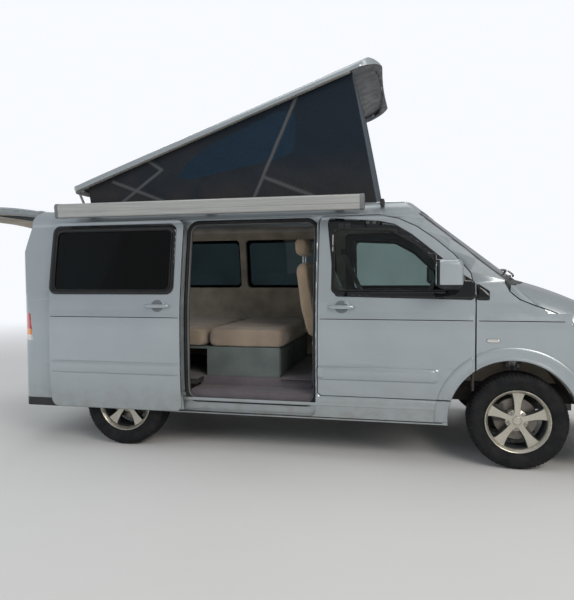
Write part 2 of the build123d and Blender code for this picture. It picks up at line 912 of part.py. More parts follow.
# Front subframe with lower arms, spring struts and their feet
knuckle_y = track / 2 - steer_inset
ball_low = 156
foot_bottom = 494
foot_top = 516
subframe = block(
    (-190, 200),
    (-rail_outer, rail_outer),
    (ball_low, floor_bottom - rail_depth - seat_clearance),
)
subframe = subframe - block((-130, 140), (-280, 280), (0, 800))
pin_radius = 12
suspension = []
for side in sides:
    arm_half = [(150, 440), (30, 630), (24, knuckle_y + 24)]
    arm_rows = [(x, side * y) for x, y in arm_half] + [(-x, side * y) for x, y in reversed(arm_half)]
    low_arm = upward(make_face(Polyline(*arm_rows, close=True)), ball_low, ball_low + 26)
    top_foot = block((-28, 28), sorted((side * 600, side * (knuckle_y + 24))), (foot_bottom, foot_top))
    leg = Pos(st(0), side * 640, (foot_bottom + 790) / 2) * Cylinder(30, 790 - foot_bottom)
    spring = Pos(st(0), side * 640, 740) * Cylinder(62, 104)
    bore = Pos(st(0), side * knuckle_y, 350) * Cylinder(pin_radius + pin_clearance, 500)
    subframe = subframe + low_arm
    subframe = subframe - bore
    room = arch(arch_radius - housing_wall - seat_clearance, arch_station, -1000, 1000)
    suspension.append(((leg + spring + top_foot) & room) - bore)
parts["front_subframe"] = subframe
parts["front_struts"] = solids_of(suspension)


def wheel_plane(station, side):
    # local Z points outward from the wheel, local Y points up
    return Plane(
        origin=(st(station), side * track / 2, axle_height), x_dir=(-side, 0, 0), z_dir=(0, side, 0)
    )


# Knuckles, which steer about an upright pin, and the hub stubs on them
stub_radius = 30
disc_radius = 150


def knuckle(side):
    plane = wheel_plane(0, side)
    upright = plane * (Pos(0, 0, -72) * Box(90, 190, 36))
    stub = plane * (Pos(0, 0, -35) * Cylinder(stub_radius, 100))
    caliper = plane * (Pos(118 * side, 40, -44) * Box(70, 120, 84))
    caliper = caliper - plane * (Pos(0, 0, -28) * Cylinder(disc_radius + 3, 32))
    web = plane * (Pos(70 * side, 40, -72) * Box(60, 60, 24))
    top_pin = Pos(st(0), side * knuckle_y, (432 + foot_top) / 2) * Cylinder(pin_radius, foot_top - 432)
    low_pin = Pos(
        st(0), side * knuckle_y, (ball_low + 2 + 245) / 2
    ) * Cylinder(pin_radius, 245 - ball_low - 2)
    return upright + stub + caliper + web + top_pin + low_pin


for side, name in sides.items():
    parts["knuckle_" + name] = knuckle(side)

# Rear axle: trailing arms, cross tube, stubs and calipers
rear_stubs = []
for side in sides:
    plane = wheel_plane(-wheelbase, side)
    stub = plane * (Pos(0, 0, -60) * Cylinder(stub_radius, 150))
    caliper = plane * (Pos(118 * side, 40, -44) * Box(70, 120, 84)) - plane * (
        Pos(0, 0, -28) * Cylinder(disc_radius + 3, 32)
    )
    carrier = plane * (Pos(30 * side, 10, -92) * Box(200, 150, 40))
    low, high = sorted((side * 560, side * 700))
    arm_seat = floor_bottom - seat_clearance
    arm = across(closed_face([
        (-3030, 300),
        (-3030, 370),
        (-2560, arm_seat),
        (-2480, arm_seat),
        (-2480, 400),
        (-2560, 390),
    ]), low, high)
    rear_stubs += [stub + caliper + carrier + arm]
cross_radius = 38
cross_height = floor_bottom - rail_depth - seat_clearance - cross_radius
cross = Pos(st(-2790), 0, cross_height) * (Rot(90, 0, 0) * Cylinder(cross_radius, 1130))
parts["rear_axle"] = rear_stubs[0] + rear_stubs[1] + cross

# Wheels: alloy rims with flared spokes, brake discs and tyres
half_tyre = tyre_width / 2


def turned(rows):
    # an outline of (radius, distance out) turned about the wheel's own axis
    return revolve(Plane.XZ * closed_face(rows), axis=Axis.Z)


def wheel():
    rim_half = 92
    barrel = turned([
        (rim_radius - 8, -rim_half),
        (rim_lip, -rim_half),
        (rim_lip, -rim_half + 8),
        (rim_radius, -rim_half + 14),
        (rim_radius, rim_half - 14),
        (rim_lip, rim_half - 8),
        (rim_lip, rim_half),
        (rim_radius - 6, rim_half - 2),
        (rim_radius - 14, rim_half - 30),
        (rim_radius - 8, rim_half - 40),
    ])
    hub = turned(
        [
            (stub_radius + pin_clearance, -44),
            (78, -44),
            (78, -14),
            (68, 34),
            (34, 58),
            (0, 60),
            (0, 20),
            (stub_radius + pin_clearance, 20),
        ]
    )
    spoke = make_face(
        Polyline(
            (40, -24),
            (rim_radius - 10, -47),
            (rim_radius - 2, 0),
            (rim_radius - 10, 47),
            (40, 24),
            close=True,
        )
    )
    spoke = extrude(Pos(0, 0, 40) * spoke, amount=26)
    shade = turned([(0, 66), (0, 60), (68, 46), (rim_radius, 66)])
    wheel_face = Rot(0, 0, spoke_turn) * spoke
    for i in range(1, spoke_count):
        wheel_face = wheel_face + Rot(0, 0, spoke_turn + 360 * i / spoke_count) * spoke
    disc = turned(
        [(stub_radius + 20, -42), (disc_radius, -42), (disc_radius, -16), (stub_radius + 20, -16)]
    )
    return barrel + hub + (wheel_face - shade) + disc


def tyre():
    bead = rim_radius + seat_clearance
    return turned([
        (bead, -76),
        (bead + 8, -76),
        (bead + 60, -half_tyre + 12),
        (tyre_radius - 16, -half_tyre + 24),
        (tyre_radius - 14, half_tyre - 24),
        (bead + 60, half_tyre - 12),
        (bead + 8, 76),
        (bead, 76),
        (bead, 77.5),
        (rim_lip + 1, 83.5),
        (rim_lip + 12, 92),
        (262, half_tyre - 3),
        (290, half_tyre),
        (tyre_radius - 22, half_tyre - 8),
        (tyre_radius - 7, half_tyre - 20),
        (tyre_radius - 1, half_tyre - 42),
        (tyre_radius, 0),
        (tyre_radius - 1, 42 - half_tyre),
        (tyre_radius - 7, 20 - half_tyre),
        (tyre_radius - 22, 8 - half_tyre),
        (290, -half_tyre),
        (262, 3 - half_tyre),
        (rim_lip + 12, -92),
        (rim_lip + 1, -83.5),
        (bead, -77.5),
    ])


wheel_solid = wheel()
tyre_solid = tyre()
corners = [("front", 0), ("rear", -wheelbase)]
for end, station in corners:
    for side, name in sides.items():
        place = wheel_plane(station, side)
        parts["wheel_" + end + "_" + name] = place * wheel_solid
        parts["tyre_" + end + "_" + name] = place * tyre_solid


# Raised roof. The panel is modelled shut and then carried up by its rear links
link_base = (link_base_station, link_base_height)
link_shut = 180
link_open = link_shut - link_swing
link_top_shut = (link_base[0] - link_length, link_base[1])
link_top_open = (
    link_base[0] + link_length * cos(radians(link_open)),
    link_base[1] + link_length * sin(radians(link_open)),
)
panel_under = roof_panel_top - roof_panel_thickness
rim_bottom = roof_panel_top - roof_rim_depth
panel_profile = [
    (roof_panel_rear, rim_bottom),
    (roof_panel_nose, rim_bottom),
    (roof_panel_break - 60, roof_panel_top - 2, roof_panel_nose - 45, roof_panel_top - 16),
    (roof_panel_rear + 70, roof_panel_top - 10, -2300, roof_panel_top + 14),
    (roof_panel_rear, rim_bottom + 18, roof_panel_rear + 14, roof_panel_top - 22),
]
panel_section = both_sides([
    (0, rim_bottom - 5),
    (roof_panel_half_width, rim_bottom - 5),
    (roof_panel_half_width - 4, roof_panel_top - 34),
    (roof_panel_half_width - 60, roof_panel_top, roof_panel_half_width - 22, roof_panel_top - 8),
    (0, roof_panel_top + 16, 350, roof_panel_top + 12),
])
panel_plan = [
    (roof_panel_rear, -640, roof_panel_rear + 34, -728),
    (roof_panel_rear, 640),
    (roof_panel_rear + 130, 760, roof_panel_rear + 34, 728),
    (roof_panel_break - 120, 760),
    (roof_panel_nose, 560, roof_panel_break + 45, 705),
    (roof_panel_nose, -560, roof_panel_nose + 40, 0),
    (roof_panel_break - 120, -760, roof_panel_break + 45, -705),
    (roof_panel_rear + 130, -760),
]


def raised(shape):
    shift = Pos(link_top_open[0] - link_top_shut[0], 0, link_top_open[1] - link_top_shut[1])
    return shift * shape.rotate(Axis((st(link_top_shut[0]), 0, link_top_shut[1]), (0, 1, 0)), -roof_tilt)


rim_thickness = 64
lid_clearance = 6
cavity = upward(closed_face(panel_plan, rim_thickness), 1800, panel_under)
pocket = block(
    (roof_panel_rear + 8, roof_panel_rear + 90),
    (strut_offset, strut_offset + 27),
    (1800, panel_under),
)
cavity = cavity + mirrored([pocket])
pivot_pin = 6
ear = block(
    (link_top_shut[0] - 14, link_top_shut[0] + 14),
    (strut_offset + 16, strut_offset + 24),
    (link_top_shut[1] - 12, panel_under),
)
ear = ear + Pos(
    st(link_top_shut[0]), strut_offset + 8, link_top_shut[1]
) * (Rot(90, 0, 0) * Cylinder(pivot_pin, 17))
panel_block = along(closed_face(panel_section), -4000, -500) & upward(closed_face(panel_plan), 1800, 2100)
roof_panel = (
    panel_block & across(closed_face(panel_profile), -900, 900)
) - cavity - body_form(-lid_clearance)
for piece in mirrored([ear]):
    roof_panel = roof_panel + piece
parts["pop_roof"] = raised(roof_panel)

# Rear links and front struts, each pair on its own pins
bar_half = 5
bar_depth = 8.5


def bar(base, length, angle, offset, holes):
    run = (cos(radians(angle)), sin(radians(angle)))
    side = (-run[1] * bar_depth, run[0] * bar_depth)
    end = (base[0] + length * run[0], base[1] + length * run[1])
    face = make_face(Polyline(
        (base[0] + side[0], base[1] + side[1]),
        (base[0] - side[0], base[1] - side[1]),
        (end[0] - side[0], end[1] - side[1]),
        (end[0] + side[0], end[1] + side[1]),
        close=True,
    ))
    whole = across(face, offset - bar_half, offset + bar_half)
    for place in (base, end)[:holes]:
        whole = whole + across(Pos(*place) * Circle(bar_depth), offset - bar_half, offset + bar_half)
        whole = whole - across(Pos(*place) * Circle(pivot_pin + pin_clearance), offset - 20, offset + 20)
    return whole


links = bar(link_base, link_length, link_open, strut_offset + 8, 2)
parts["roof_links"] = solids_of(mirrored([links]))
strut_base = (strut_base_station, link_base_height)
strut = bar(strut_base, strut_length, strut_swing, strut_offset, 1)
parts["roof_struts"] = solids_of(mirrored([strut]))

# Pins and ears on the roof frame that carry the links and the struts
for place, offset in ((link_base, strut_offset + 8), (strut_base, strut_offset)):
    stand = block(
        (place[0] - 12, place[0] + 12),
        (offset - bar_half - 9, offset - bar_half - 1),
        (roof_deck - 40, place[1] + 9),
    )
    stand = stand + Pos(st(place[0]), offset - 4, place[1]) * (Rot(90, 0, 0) * Cylinder(pivot_pin, 20))
    for piece in mirrored([stand]):
        parts["roof_frame"] = parts["roof_frame"] + piece

# Tent: thin fabric walls from the roof deck up to the panel
tent_half_width = 676
tent_cloth = 6
tent_base = roof_deck - 8
tent_lift = panel_under - link_top_shut[1]
slope = radians(roof_tilt)


def panel_line(station, drop):
    # height of the raised panel's inner face at a station
    start = link_top_open[0] - tent_lift * sin(slope), link_top_open[1] + tent_lift * cos(slope)
    return start[1] + (station - start[0]) * sin(slope) / cos(slope) - drop


tent_rear_top = -3430
tent_front_top = -1178
tent_outline = [
    (-3395, tent_base),
    (-985, tent_base),
    (tent_front_top, panel_line(tent_front_top, seat_clearance)),
    (tent_rear_top, panel_line(tent_rear_top, seat_clearance)),
]
tent_hollow = [
    (-3395 + tent_cloth, tent_base - 1),
    (-985 - tent_cloth, tent_base - 1),
    (tent_front_top - tent_cloth, panel_line(tent_front_top - tent_cloth, 0)),
    (tent_rear_top + tent_cloth, panel_line(tent_rear_top + tent_cloth, 0)),
]
tent = across(make_face(Polyline(*tent_outline, close=True)), -tent_half_width, tent_half_width)
tent = tent - across(
    make_face(Polyline(*tent_hollow, close=True)),
    -tent_half_width + tent_cloth,
    tent_half_width - tent_cloth,
)
parts["tent"] = tent - form[0]

# Awning case with its end caps, on three brackets along the right-hand roof edge
awning_rows = [
    (awning_inner, awning_bottom + 8),
    (awning_inner, awning_top),
    (awning_outer + 30, awning_top, (awning_inner + awning_outer) / 2, awning_top + 4),
    (awning_outer, awning_top - 34, awning_outer + 7, awning_top - 9),
    (awning_outer + 6, awning_bottom + 18),
    (awning_outer + 26, awning_bottom, awning_outer + 10, awning_bottom + 3),
]
cap_length = 26
awning = along(closed_face(awning_rows), awning_rear + cap_length, awning_front - cap_length)
groove = block(
    (awning_rear + cap_length, awning_front - cap_length),
    (awning_outer - 5, awning_outer + 6),
    (1872, 1876),
)
caps = [
    along(closed_face(awning_rows, -2), awning_rear, awning_rear + cap_length),
    along(closed_face(awning_rows, -2), awning_front - cap_length, awning_front),
]
parts["awning_case"] = solids_of([awning - groove])
parts["awning_caps"] = solids_of(caps)
brackets = [
    block((station - 35, station + 35), (awning_inner, -700), (1862, 1912)) - body_form(-0.3)
    for station in (-3300, -2280, -1260)
]
parts["awning_brackets"] = solids_of(brackets)

# Door mirrors: housing and arm
for side, name in sides.items():
    low, high = sorted((side * 992, side * 1141))
    housing = block((-566, -392), (low, high), (1272, 1474))
    housing = fillet(housing.edges().filter_by(Axis.Y), 45)
    housing = chamfer(housing.faces().sort_by(Axis.X)[-1].edges(), 22)
    arm = across(
        closed_face([(-500, 1262), (-400, 1262), (-425, 1318), (-490, 1318)]),
        *sorted((side * 880, side * 1000)),
    )
    parts["mirror_" + name] = (housing + arm) - body_form(-seat_clearance)

for name, shape in parts.items():
    export_step(shape, "parts/" + name + ".step")
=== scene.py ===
import json
import math

import bmesh
import bpy
import numpy as np
from mathutils import Matrix, Vector
from mathutils.geometry import delaunay_2d_cdt


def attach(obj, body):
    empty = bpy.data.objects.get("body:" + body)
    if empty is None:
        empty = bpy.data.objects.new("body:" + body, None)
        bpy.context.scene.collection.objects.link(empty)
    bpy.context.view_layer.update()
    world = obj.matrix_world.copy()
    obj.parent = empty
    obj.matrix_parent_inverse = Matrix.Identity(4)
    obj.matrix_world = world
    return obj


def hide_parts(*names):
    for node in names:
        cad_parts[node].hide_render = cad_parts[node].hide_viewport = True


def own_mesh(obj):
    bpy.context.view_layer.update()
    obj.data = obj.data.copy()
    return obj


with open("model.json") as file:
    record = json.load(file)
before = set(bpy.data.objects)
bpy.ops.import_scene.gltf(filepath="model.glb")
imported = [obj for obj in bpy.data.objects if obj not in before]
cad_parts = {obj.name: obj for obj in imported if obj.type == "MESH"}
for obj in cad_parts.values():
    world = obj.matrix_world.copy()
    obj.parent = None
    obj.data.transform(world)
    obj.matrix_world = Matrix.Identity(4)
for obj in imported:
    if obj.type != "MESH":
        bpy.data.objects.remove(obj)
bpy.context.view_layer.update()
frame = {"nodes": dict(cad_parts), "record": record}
cadNodes = frame["nodes"]
bodyOfNode = {n: b for b, ns in frame["record"]["behaviour"]["bodies"].items() for n in ns}

# Stations are metres forward of the front axle, which lies at this X
frontAxle = 2.0036
wheelbase = 3.0
halfTrack = 0.814
axleHeight = 0.338
# the sliding door stands this far out and back from where it shuts
slideOut = 0.074
slideBack = 1.037
# the shut tailgate turns up by this many degrees about (station, height)
gateSwing = 84
gateHinge = (-3.820, 1.918)

# each arc of the body side runs through three points of (half width, height),
# those of nose and tail through (station, half width)
sideArcs = [
    ((0.880, 0.150), (0.933, 0.480), (0.942, 0.760)),
    ((0.942, 0.760), (0.942, 0.970), (0.932, 1.170)),
    ((0.932, 1.170), (0.885, 1.480), (0.832, 1.780)),
    ((0.832, 1.780), (0.806, 1.880), (0.742, 1.916)),
]
noseArc = ((0.330, 0.960), (0.655, 0.850), (0.790, 0.640))
tailArc = ((-3.700, 0.960), (-3.893, 0.893), (-3.950, 0.770))
bodyForm = {"footHalf": 0.880, "noseLean": 0.27, "leanFrom": 0.690, "noseFrom": 0.335, "tailFrom": -3.7}


def circleThrough(a, b, c):
    # centre and radius of the circle through three points
    (ax, ay), (bx, by), (cx, cy) = a, b, c
    d = 2 * (ax * (by - cy) + bx * (cy - ay) + cx * (ay - by))
    ux = ((ax * ax + ay * ay) * (by - cy) + (bx * bx + by * by) * (cy - ay) + (cx * cx + cy * cy) * (ay - by)) / d
    uy = ((ax * ax + ay * ay) * (cx - bx) + (bx * bx + by * by) * (ax - cx) + (cx * cx + cy * cy) * (bx - ax)) / d
    return ux, uy, math.hypot(ax - ux, ay - uy)


def halfWidth(station, height):
    # half width of the body: the side arc at this height, cut by the plan arcs of the nose and the tail
    station, height = np.broadcast_arrays(np.asarray(station, float), np.asarray(height, float))
    width = np.full(station.shape, bodyForm["footHalf"])
    for low, middle, high in sideArcs:
        cx, cy, r = circleThrough(low, middle, high)
        here = (height >= low[1]) & (height <= high[1])
        width = np.where(here, cx + np.sqrt(np.maximum(r * r - (height - cy) ** 2, 0)), width)
    nx, ny, nr = circleThrough(*noseArc)
    ahead = station + bodyForm["noseLean"] * np.maximum(height - bodyForm["leanFrom"], 0)
    nose = ny + np.sqrt(np.maximum(nr * nr - (ahead - nx) ** 2, 0))
    width = np.where(ahead > bodyForm["noseFrom"], np.minimum(width, nose), width)
    tx, ty, tr = circleThrough(*tailArc)
    tail = ty + np.sqrt(np.maximum(tr * tr - (station - tx) ** 2, 0))
    return np.where(station < bodyForm["tailFrom"], np.minimum(width, tail), width)


def onSide(side, lift=0.0):
    # puts (station, height, outwards) on the body side; side is 1 on the left and -1 on the right
    def place(station, height, out):
        station = np.asarray(station, float)
        height = np.asarray(height, float)
        y = side * (halfWidth(station, height) + out + lift)
        return np.stack([frontAxle + station, y, height], -1)
    return place


def onSlidingDoor(lift=0.0):
    # the same on the sliding door, whose skin is the body side's, moved back and out
    base = onSide(-1, lift)
    return lambda s, h, out: base(np.asarray(s) + slideBack, h, out) + np.array([-slideBack, -slideOut, 0])


def linked(name, data):
    # a new object of this data in the scene
    item = bpy.data.objects.new(name, data)
    bpy.context.scene.collection.objects.link(item)
    return item


def reworked(mesh, work):
    # opens a mesh for editing, works on it and writes it back
    bm = bmesh.new()
    bm.from_mesh(mesh)
    work(bm)
    bm.to_mesh(mesh)
    bm.free()


def splitAt(bm, point, direction, **more):
    # parts every face along a plane
    whole = list(bm.verts) + list(bm.edges) + list(bm.faces)
    bmesh.ops.bisect_plane(bm, geom=whole, plane_co=point, plane_no=direction, **more)


def thicken(piece, thickness):
    s = piece.modifiers.new("thick", "SOLIDIFY")
    s.thickness = thickness
    s.offset = 0
    return piece


def newPiece(name, verts, faces, body, material, slotName=None, stands=()):
    # a smooth mesh that rides on a body; stands names the CAD nodes that it stands for
    mesh = bpy.data.meshes.new(name)
    mesh.from_pydata(np.asarray(verts, float).reshape(-1, 3).tolist(), [], [list(map(int, f)) for f in faces])
    mesh.update()
    piece = linked(name, mesh)
    for m in material if isinstance(material, (list, tuple)) else [material]:
        mesh.materials.append(m)
    mesh.polygons.foreach_set("use_smooth", np.ones(len(mesh.polygons), bool))
    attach(piece, body)
    if stands:
        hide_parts(*stands)
    return piece


def tidyNormals(piece, merge=1e-5):
    # merges doubles and turns every face outwards
    def work(bm):
        bmesh.ops.remove_doubles(bm, verts=bm.verts, dist=merge)
        bmesh.ops.recalc_face_normals(bm, faces=bm.faces)
    reworked(piece.data, work)
    return piece


def sharpen(piece, degrees=32, weighted=False):
    piece.data.polygons.foreach_set("use_smooth", np.ones(len(piece.data.polygons), bool))
    piece.data.set_sharp_from_angle(angle=math.radians(degrees))
    if weighted:
        w = piece.modifiers.new("shade", "WEIGHTED_NORMAL")
        w.keep_sharp = True
    return piece


def gridFaces(rows, columns, closeRows=False, closeColumns=False):
    # quads over a rows x columns grid of points
    r = np.arange(rows if closeRows else rows - 1)
    c = np.arange(columns if closeColumns else columns - 1)
    rr, cc = np.meshgrid(r, c, indexing="ij")
    a = rr * columns + cc
    b = rr * columns + (cc + 1) % columns
    d = ((rr + 1) % rows) * columns + cc
    e = ((rr + 1) % rows) * columns + (cc + 1) % columns
    return np.stack([a, b, e, d], -1).reshape(-1, 4)


def lathe(name, profile, centre, side, body, material, around=96, **more):
    # a profile of (radius, outwards) turned about a wheel's axis: x = r cos t, z = r sin t, y = outwards
    profile = np.asarray(profile, float)
    t = np.linspace(0, 2 * math.pi, around, endpoint=False)
    r = profile[:, 0][None, :]
    x = centre[0] + r * np.cos(t)[:, None]
    z = centre[2] + r * np.sin(t)[:, None]
    y = centre[1] + side * np.broadcast_to(profile[:, 1][None, :], x.shape)
    piece = newPiece(name, np.stack([x, y, z], -1), gridFaces(around, len(profile), closeRows=True), body, material,
                     **more)
    return tidyNormals(piece)


def rounded(points, radius, steps=7):
    # a closed outline with each corner turned by an arc, as a dense loop of points
    points = np.asarray(points, float)
    radii = np.broadcast_to(np.asarray(radius, float), (len(points),))
    loop = []
    for i, corner in enumerate(points):
        before = points[i - 1] - corner
        after = points[(i + 1) % len(points)] - corner
        la, lb = np.linalg.norm(before), np.linalg.norm(after)
        ua, ub = before / la, after / lb
        angle = math.acos(float(np.clip(ua @ ub, -1, 1)))
        if angle > math.radians(177):
            loop.append(corner)
            continue
        back = min(radii[i] / math.tan(angle / 2), 0.49 * la, 0.49 * lb)
        r = back * math.tan(angle / 2)
        middle = corner + (ua + ub) / np.linalg.norm(ua + ub) * r / math.sin(angle / 2)
        start, stop = corner + ua * back, corner + ub * back
        a0 = math.atan2(*(start - middle)[::-1])
        a1 = math.atan2(*(stop - middle)[::-1])
        turn = (a1 - a0 + math.pi) % (2 * math.pi) - math.pi
        for k in range(steps + 1):
            a = a0 + turn * k / steps
            loop.append(middle + r * np.array([math.cos(a), math.sin(a)]))
    return np.array(loop)


def respaced(loop, gap):
    # the same closed loop with a point at least every gap
    result = []
    for a, b in zip(loop, np.roll(loop, -1, axis=0)):
        count = max(1, int(np.ceil(np.linalg.norm(b - a) / gap)))
        result += [a + (b - a) * k / count for k in range(count)]
    return np.array(result)


def outwards(loop):
    # unit normals of a closed loop, away from its middle
    step = np.roll(loop, -1, axis=0) - np.roll(loop, 1, axis=0)
    normal = np.stack([step[:, 1], -step[:, 0]], -1)
    normal /= np.maximum(np.linalg.norm(normal, axis=1, keepdims=True), 1e-9)
    area = np.sum(loop[:, 0] * np.roll(loop[:, 1], -1) - np.roll(loop[:, 0], -1) * loop[:, 1])
    return normal if area > 0 else -normal


def band(name, loop, section, place, body, material, **more):
    # a closed section of (across, height) carried round a loop; across is measured away from the loop's middle
    loop = respaced(loop, 0.03)
    normal = outwards(loop)
    section = np.asarray(section, float)
    flat = loop[:, None, :] + normal[:, None, :] * section[None, :, :1]
    out = np.broadcast_to(section[None, :, 1], flat.shape[:2])
    points = place(flat[..., 0], flat[..., 1], out)
    piece = newPiece(name, points, gridFaces(len(loop), len(section), True, True), body, material, **more)
    return tidyNormals(piece)


def bead(width, height, sink=0.002, count=7):
    # the upper half of an ellipse on a flat foot
    t = np.linspace(0, math.pi, count)
    return np.concatenate([np.stack([-np.cos(t) * width / 2, np.sin(t) * height], -1),
                           [[width / 2, -sink], [-width / 2, -sink]]])


def patch(name, outer, place, body, material, holes=(), pitch=0.05, thickness=0.002, rows=(), lift=None, **more):
    # a sheet filled between outlines: points on a grid inside them are joined by Delaunay triangles
    loops = [respaced(np.asarray(l, float), pitch) for l in (outer, *holes)]
    points = [p for l in loops for p in l]
    edges, start = [], 0
    for l in loops:
        edges += [(start + i, start + (i + 1) % len(l)) for i in range(len(l))]
        start += len(l)
    low, high = loops[0].min(0), loops[0].max(0)
    us = np.arange(low[0] + pitch / 2, high[0], pitch)
    vs = np.unique(np.concatenate([np.arange(low[1] + pitch / 2, high[1], pitch),
                                   [r for r in rows if low[1] < r < high[1]]]))
    points += [np.array([u, v]) for u in us for v in vs]
    made = delaunay_2d_cdt([Vector(p) for p in points], edges, [], 0, 1e-6, True)
    flat = np.array([tuple(v) for v in made[0]])
    tris = np.array([f for f in made[2] if len(f) == 3])
    middle = flat[tris].mean(1)
    keep = inside(middle, loops[0])
    for hole in loops[1:]:
        keep &= ~inside(middle, hole)
    out = np.zeros(len(flat)) if lift is None else lift(flat[:, 0], flat[:, 1])
    piece = newPiece(name, place(flat[:, 0], flat[:, 1], out), tris[keep], body, material, **more)
    reworked(piece.data,
             lambda bm: bmesh.ops.delete(bm, geom=[v for v in bm.verts if not v.link_faces], context="VERTS"))
    return thicken(piece, thickness)


def inside(points, loop):
    # even-odd test of points against a closed loop
    x, y = points[:, 0][:, None], points[:, 1][:, None]
    a, b = loop, np.roll(loop, -1, axis=0)
    crosses = (a[None, :, 1] > y) != (b[None, :, 1] > y)
    rise = np.where(b[:, 1] == a[:, 1], 1, b[:, 1] - a[:, 1])
    at = (b[:, 0] - a[:, 0])[None] * (y - a[None, :, 1]) / rise[None] + a[None, :, 0]
    return (np.sum(crosses & (x < at), axis=1) % 2) == 1


def tube(name, path, radius, body, material, around=12, section=None, **more):
    # a round or given section carried along a path, square to it
    path = np.asarray(path, float)
    step = np.gradient(path, axis=0)
    step /= np.linalg.norm(step, axis=1, keepdims=True)
    up = np.where(np.abs(step[:, 2:3]) > 0.9, np.array([[1.0, 0, 0]]), np.array([[0, 0, 1.0]]))
    sideways = np.cross(step, up)
    sideways /= np.linalg.norm(sideways, axis=1, keepdims=True)
    over = np.cross(sideways, step)
    if section is None:
        t = np.linspace(0, 2 * math.pi, around, endpoint=False)
        section = np.stack([np.cos(t), np.sin(t)], -1) * radius
    section = np.asarray(section, float)
    points = path[:, None] + sideways[:, None] * section[None, :, :1] + over[:, None] * section[None, :, 1:]
    n, m = len(path), len(section)
    faces = gridFaces(n, m, closeColumns=True).tolist() + [list(range(m))[::-1], [(n - 1) * m + i for i in range(m)]]
    return tidyNormals(newPiece(name, points, faces, body, material, **more))


def boxPiece(name, low, high, body, material, bevel=0.004):
    # a box with turned edges, from its lowest to its highest corner of (station, y, height)
    low, high = (np.array([frontAxle + corner[0], *corner[1:]]) for corner in (low, high))
    bm = bmesh.new()
    bmesh.ops.create_cube(bm, size=1)
    for v in bm.verts:
        v.co = Vector(((low + high) / 2 + np.array(v.co) * (high - low)).tolist())
    if bevel:
        bmesh.ops.bevel(bm, geom=list(bm.edges), offset=bevel, segments=3, affect="EDGES", profile=0.7)
    mesh = bpy.data.meshes.new(name)
    bm.to_mesh(mesh)
    bm.free()
    piece = linked(name, mesh)
    mesh.materials.append(material)
    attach(piece, body)
    return sharpen(piece, 50, weighted=True)


def swapIn(node, materials, pick=None, cuts=()):
    # a merged and smoothly shaded copy of a CAD node, which then stands for it; its faces are parted at each cut of
    # (axis, value), so that a colour can change along a clean line
    mesh = cadNodes[node].data.copy()
    piece = linked(node + "Skin", mesh)

    def work(bm):
        bmesh.ops.remove_doubles(bm, verts=bm.verts, dist=2e-5)
        for axis, value in cuts:
            splitAt(bm, [value if k == axis else 0 for k in range(3)], [1 if k == axis else 0 for k in range(3)],
                    dist=1e-5)
    reworked(mesh, work)
    mesh.materials.clear()
    for m in materials:
        mesh.materials.append(m)
    count = len(mesh.polygons)
    index = np.zeros(count, int)
    if pick is not None:
        centre = np.zeros(count * 3)
        normal = np.zeros(count * 3)
        mesh.polygons.foreach_get("center", centre)
        mesh.polygons.foreach_get("normal", normal)
        index = pick(centre.reshape(-1, 3), normal.reshape(-1, 3)).astype(int)
    mesh.polygons.foreach_set("material_index", index)
    sharpen(piece, 30, weighted=True)
    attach(piece, bodyOfNode[node])
    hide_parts(node)


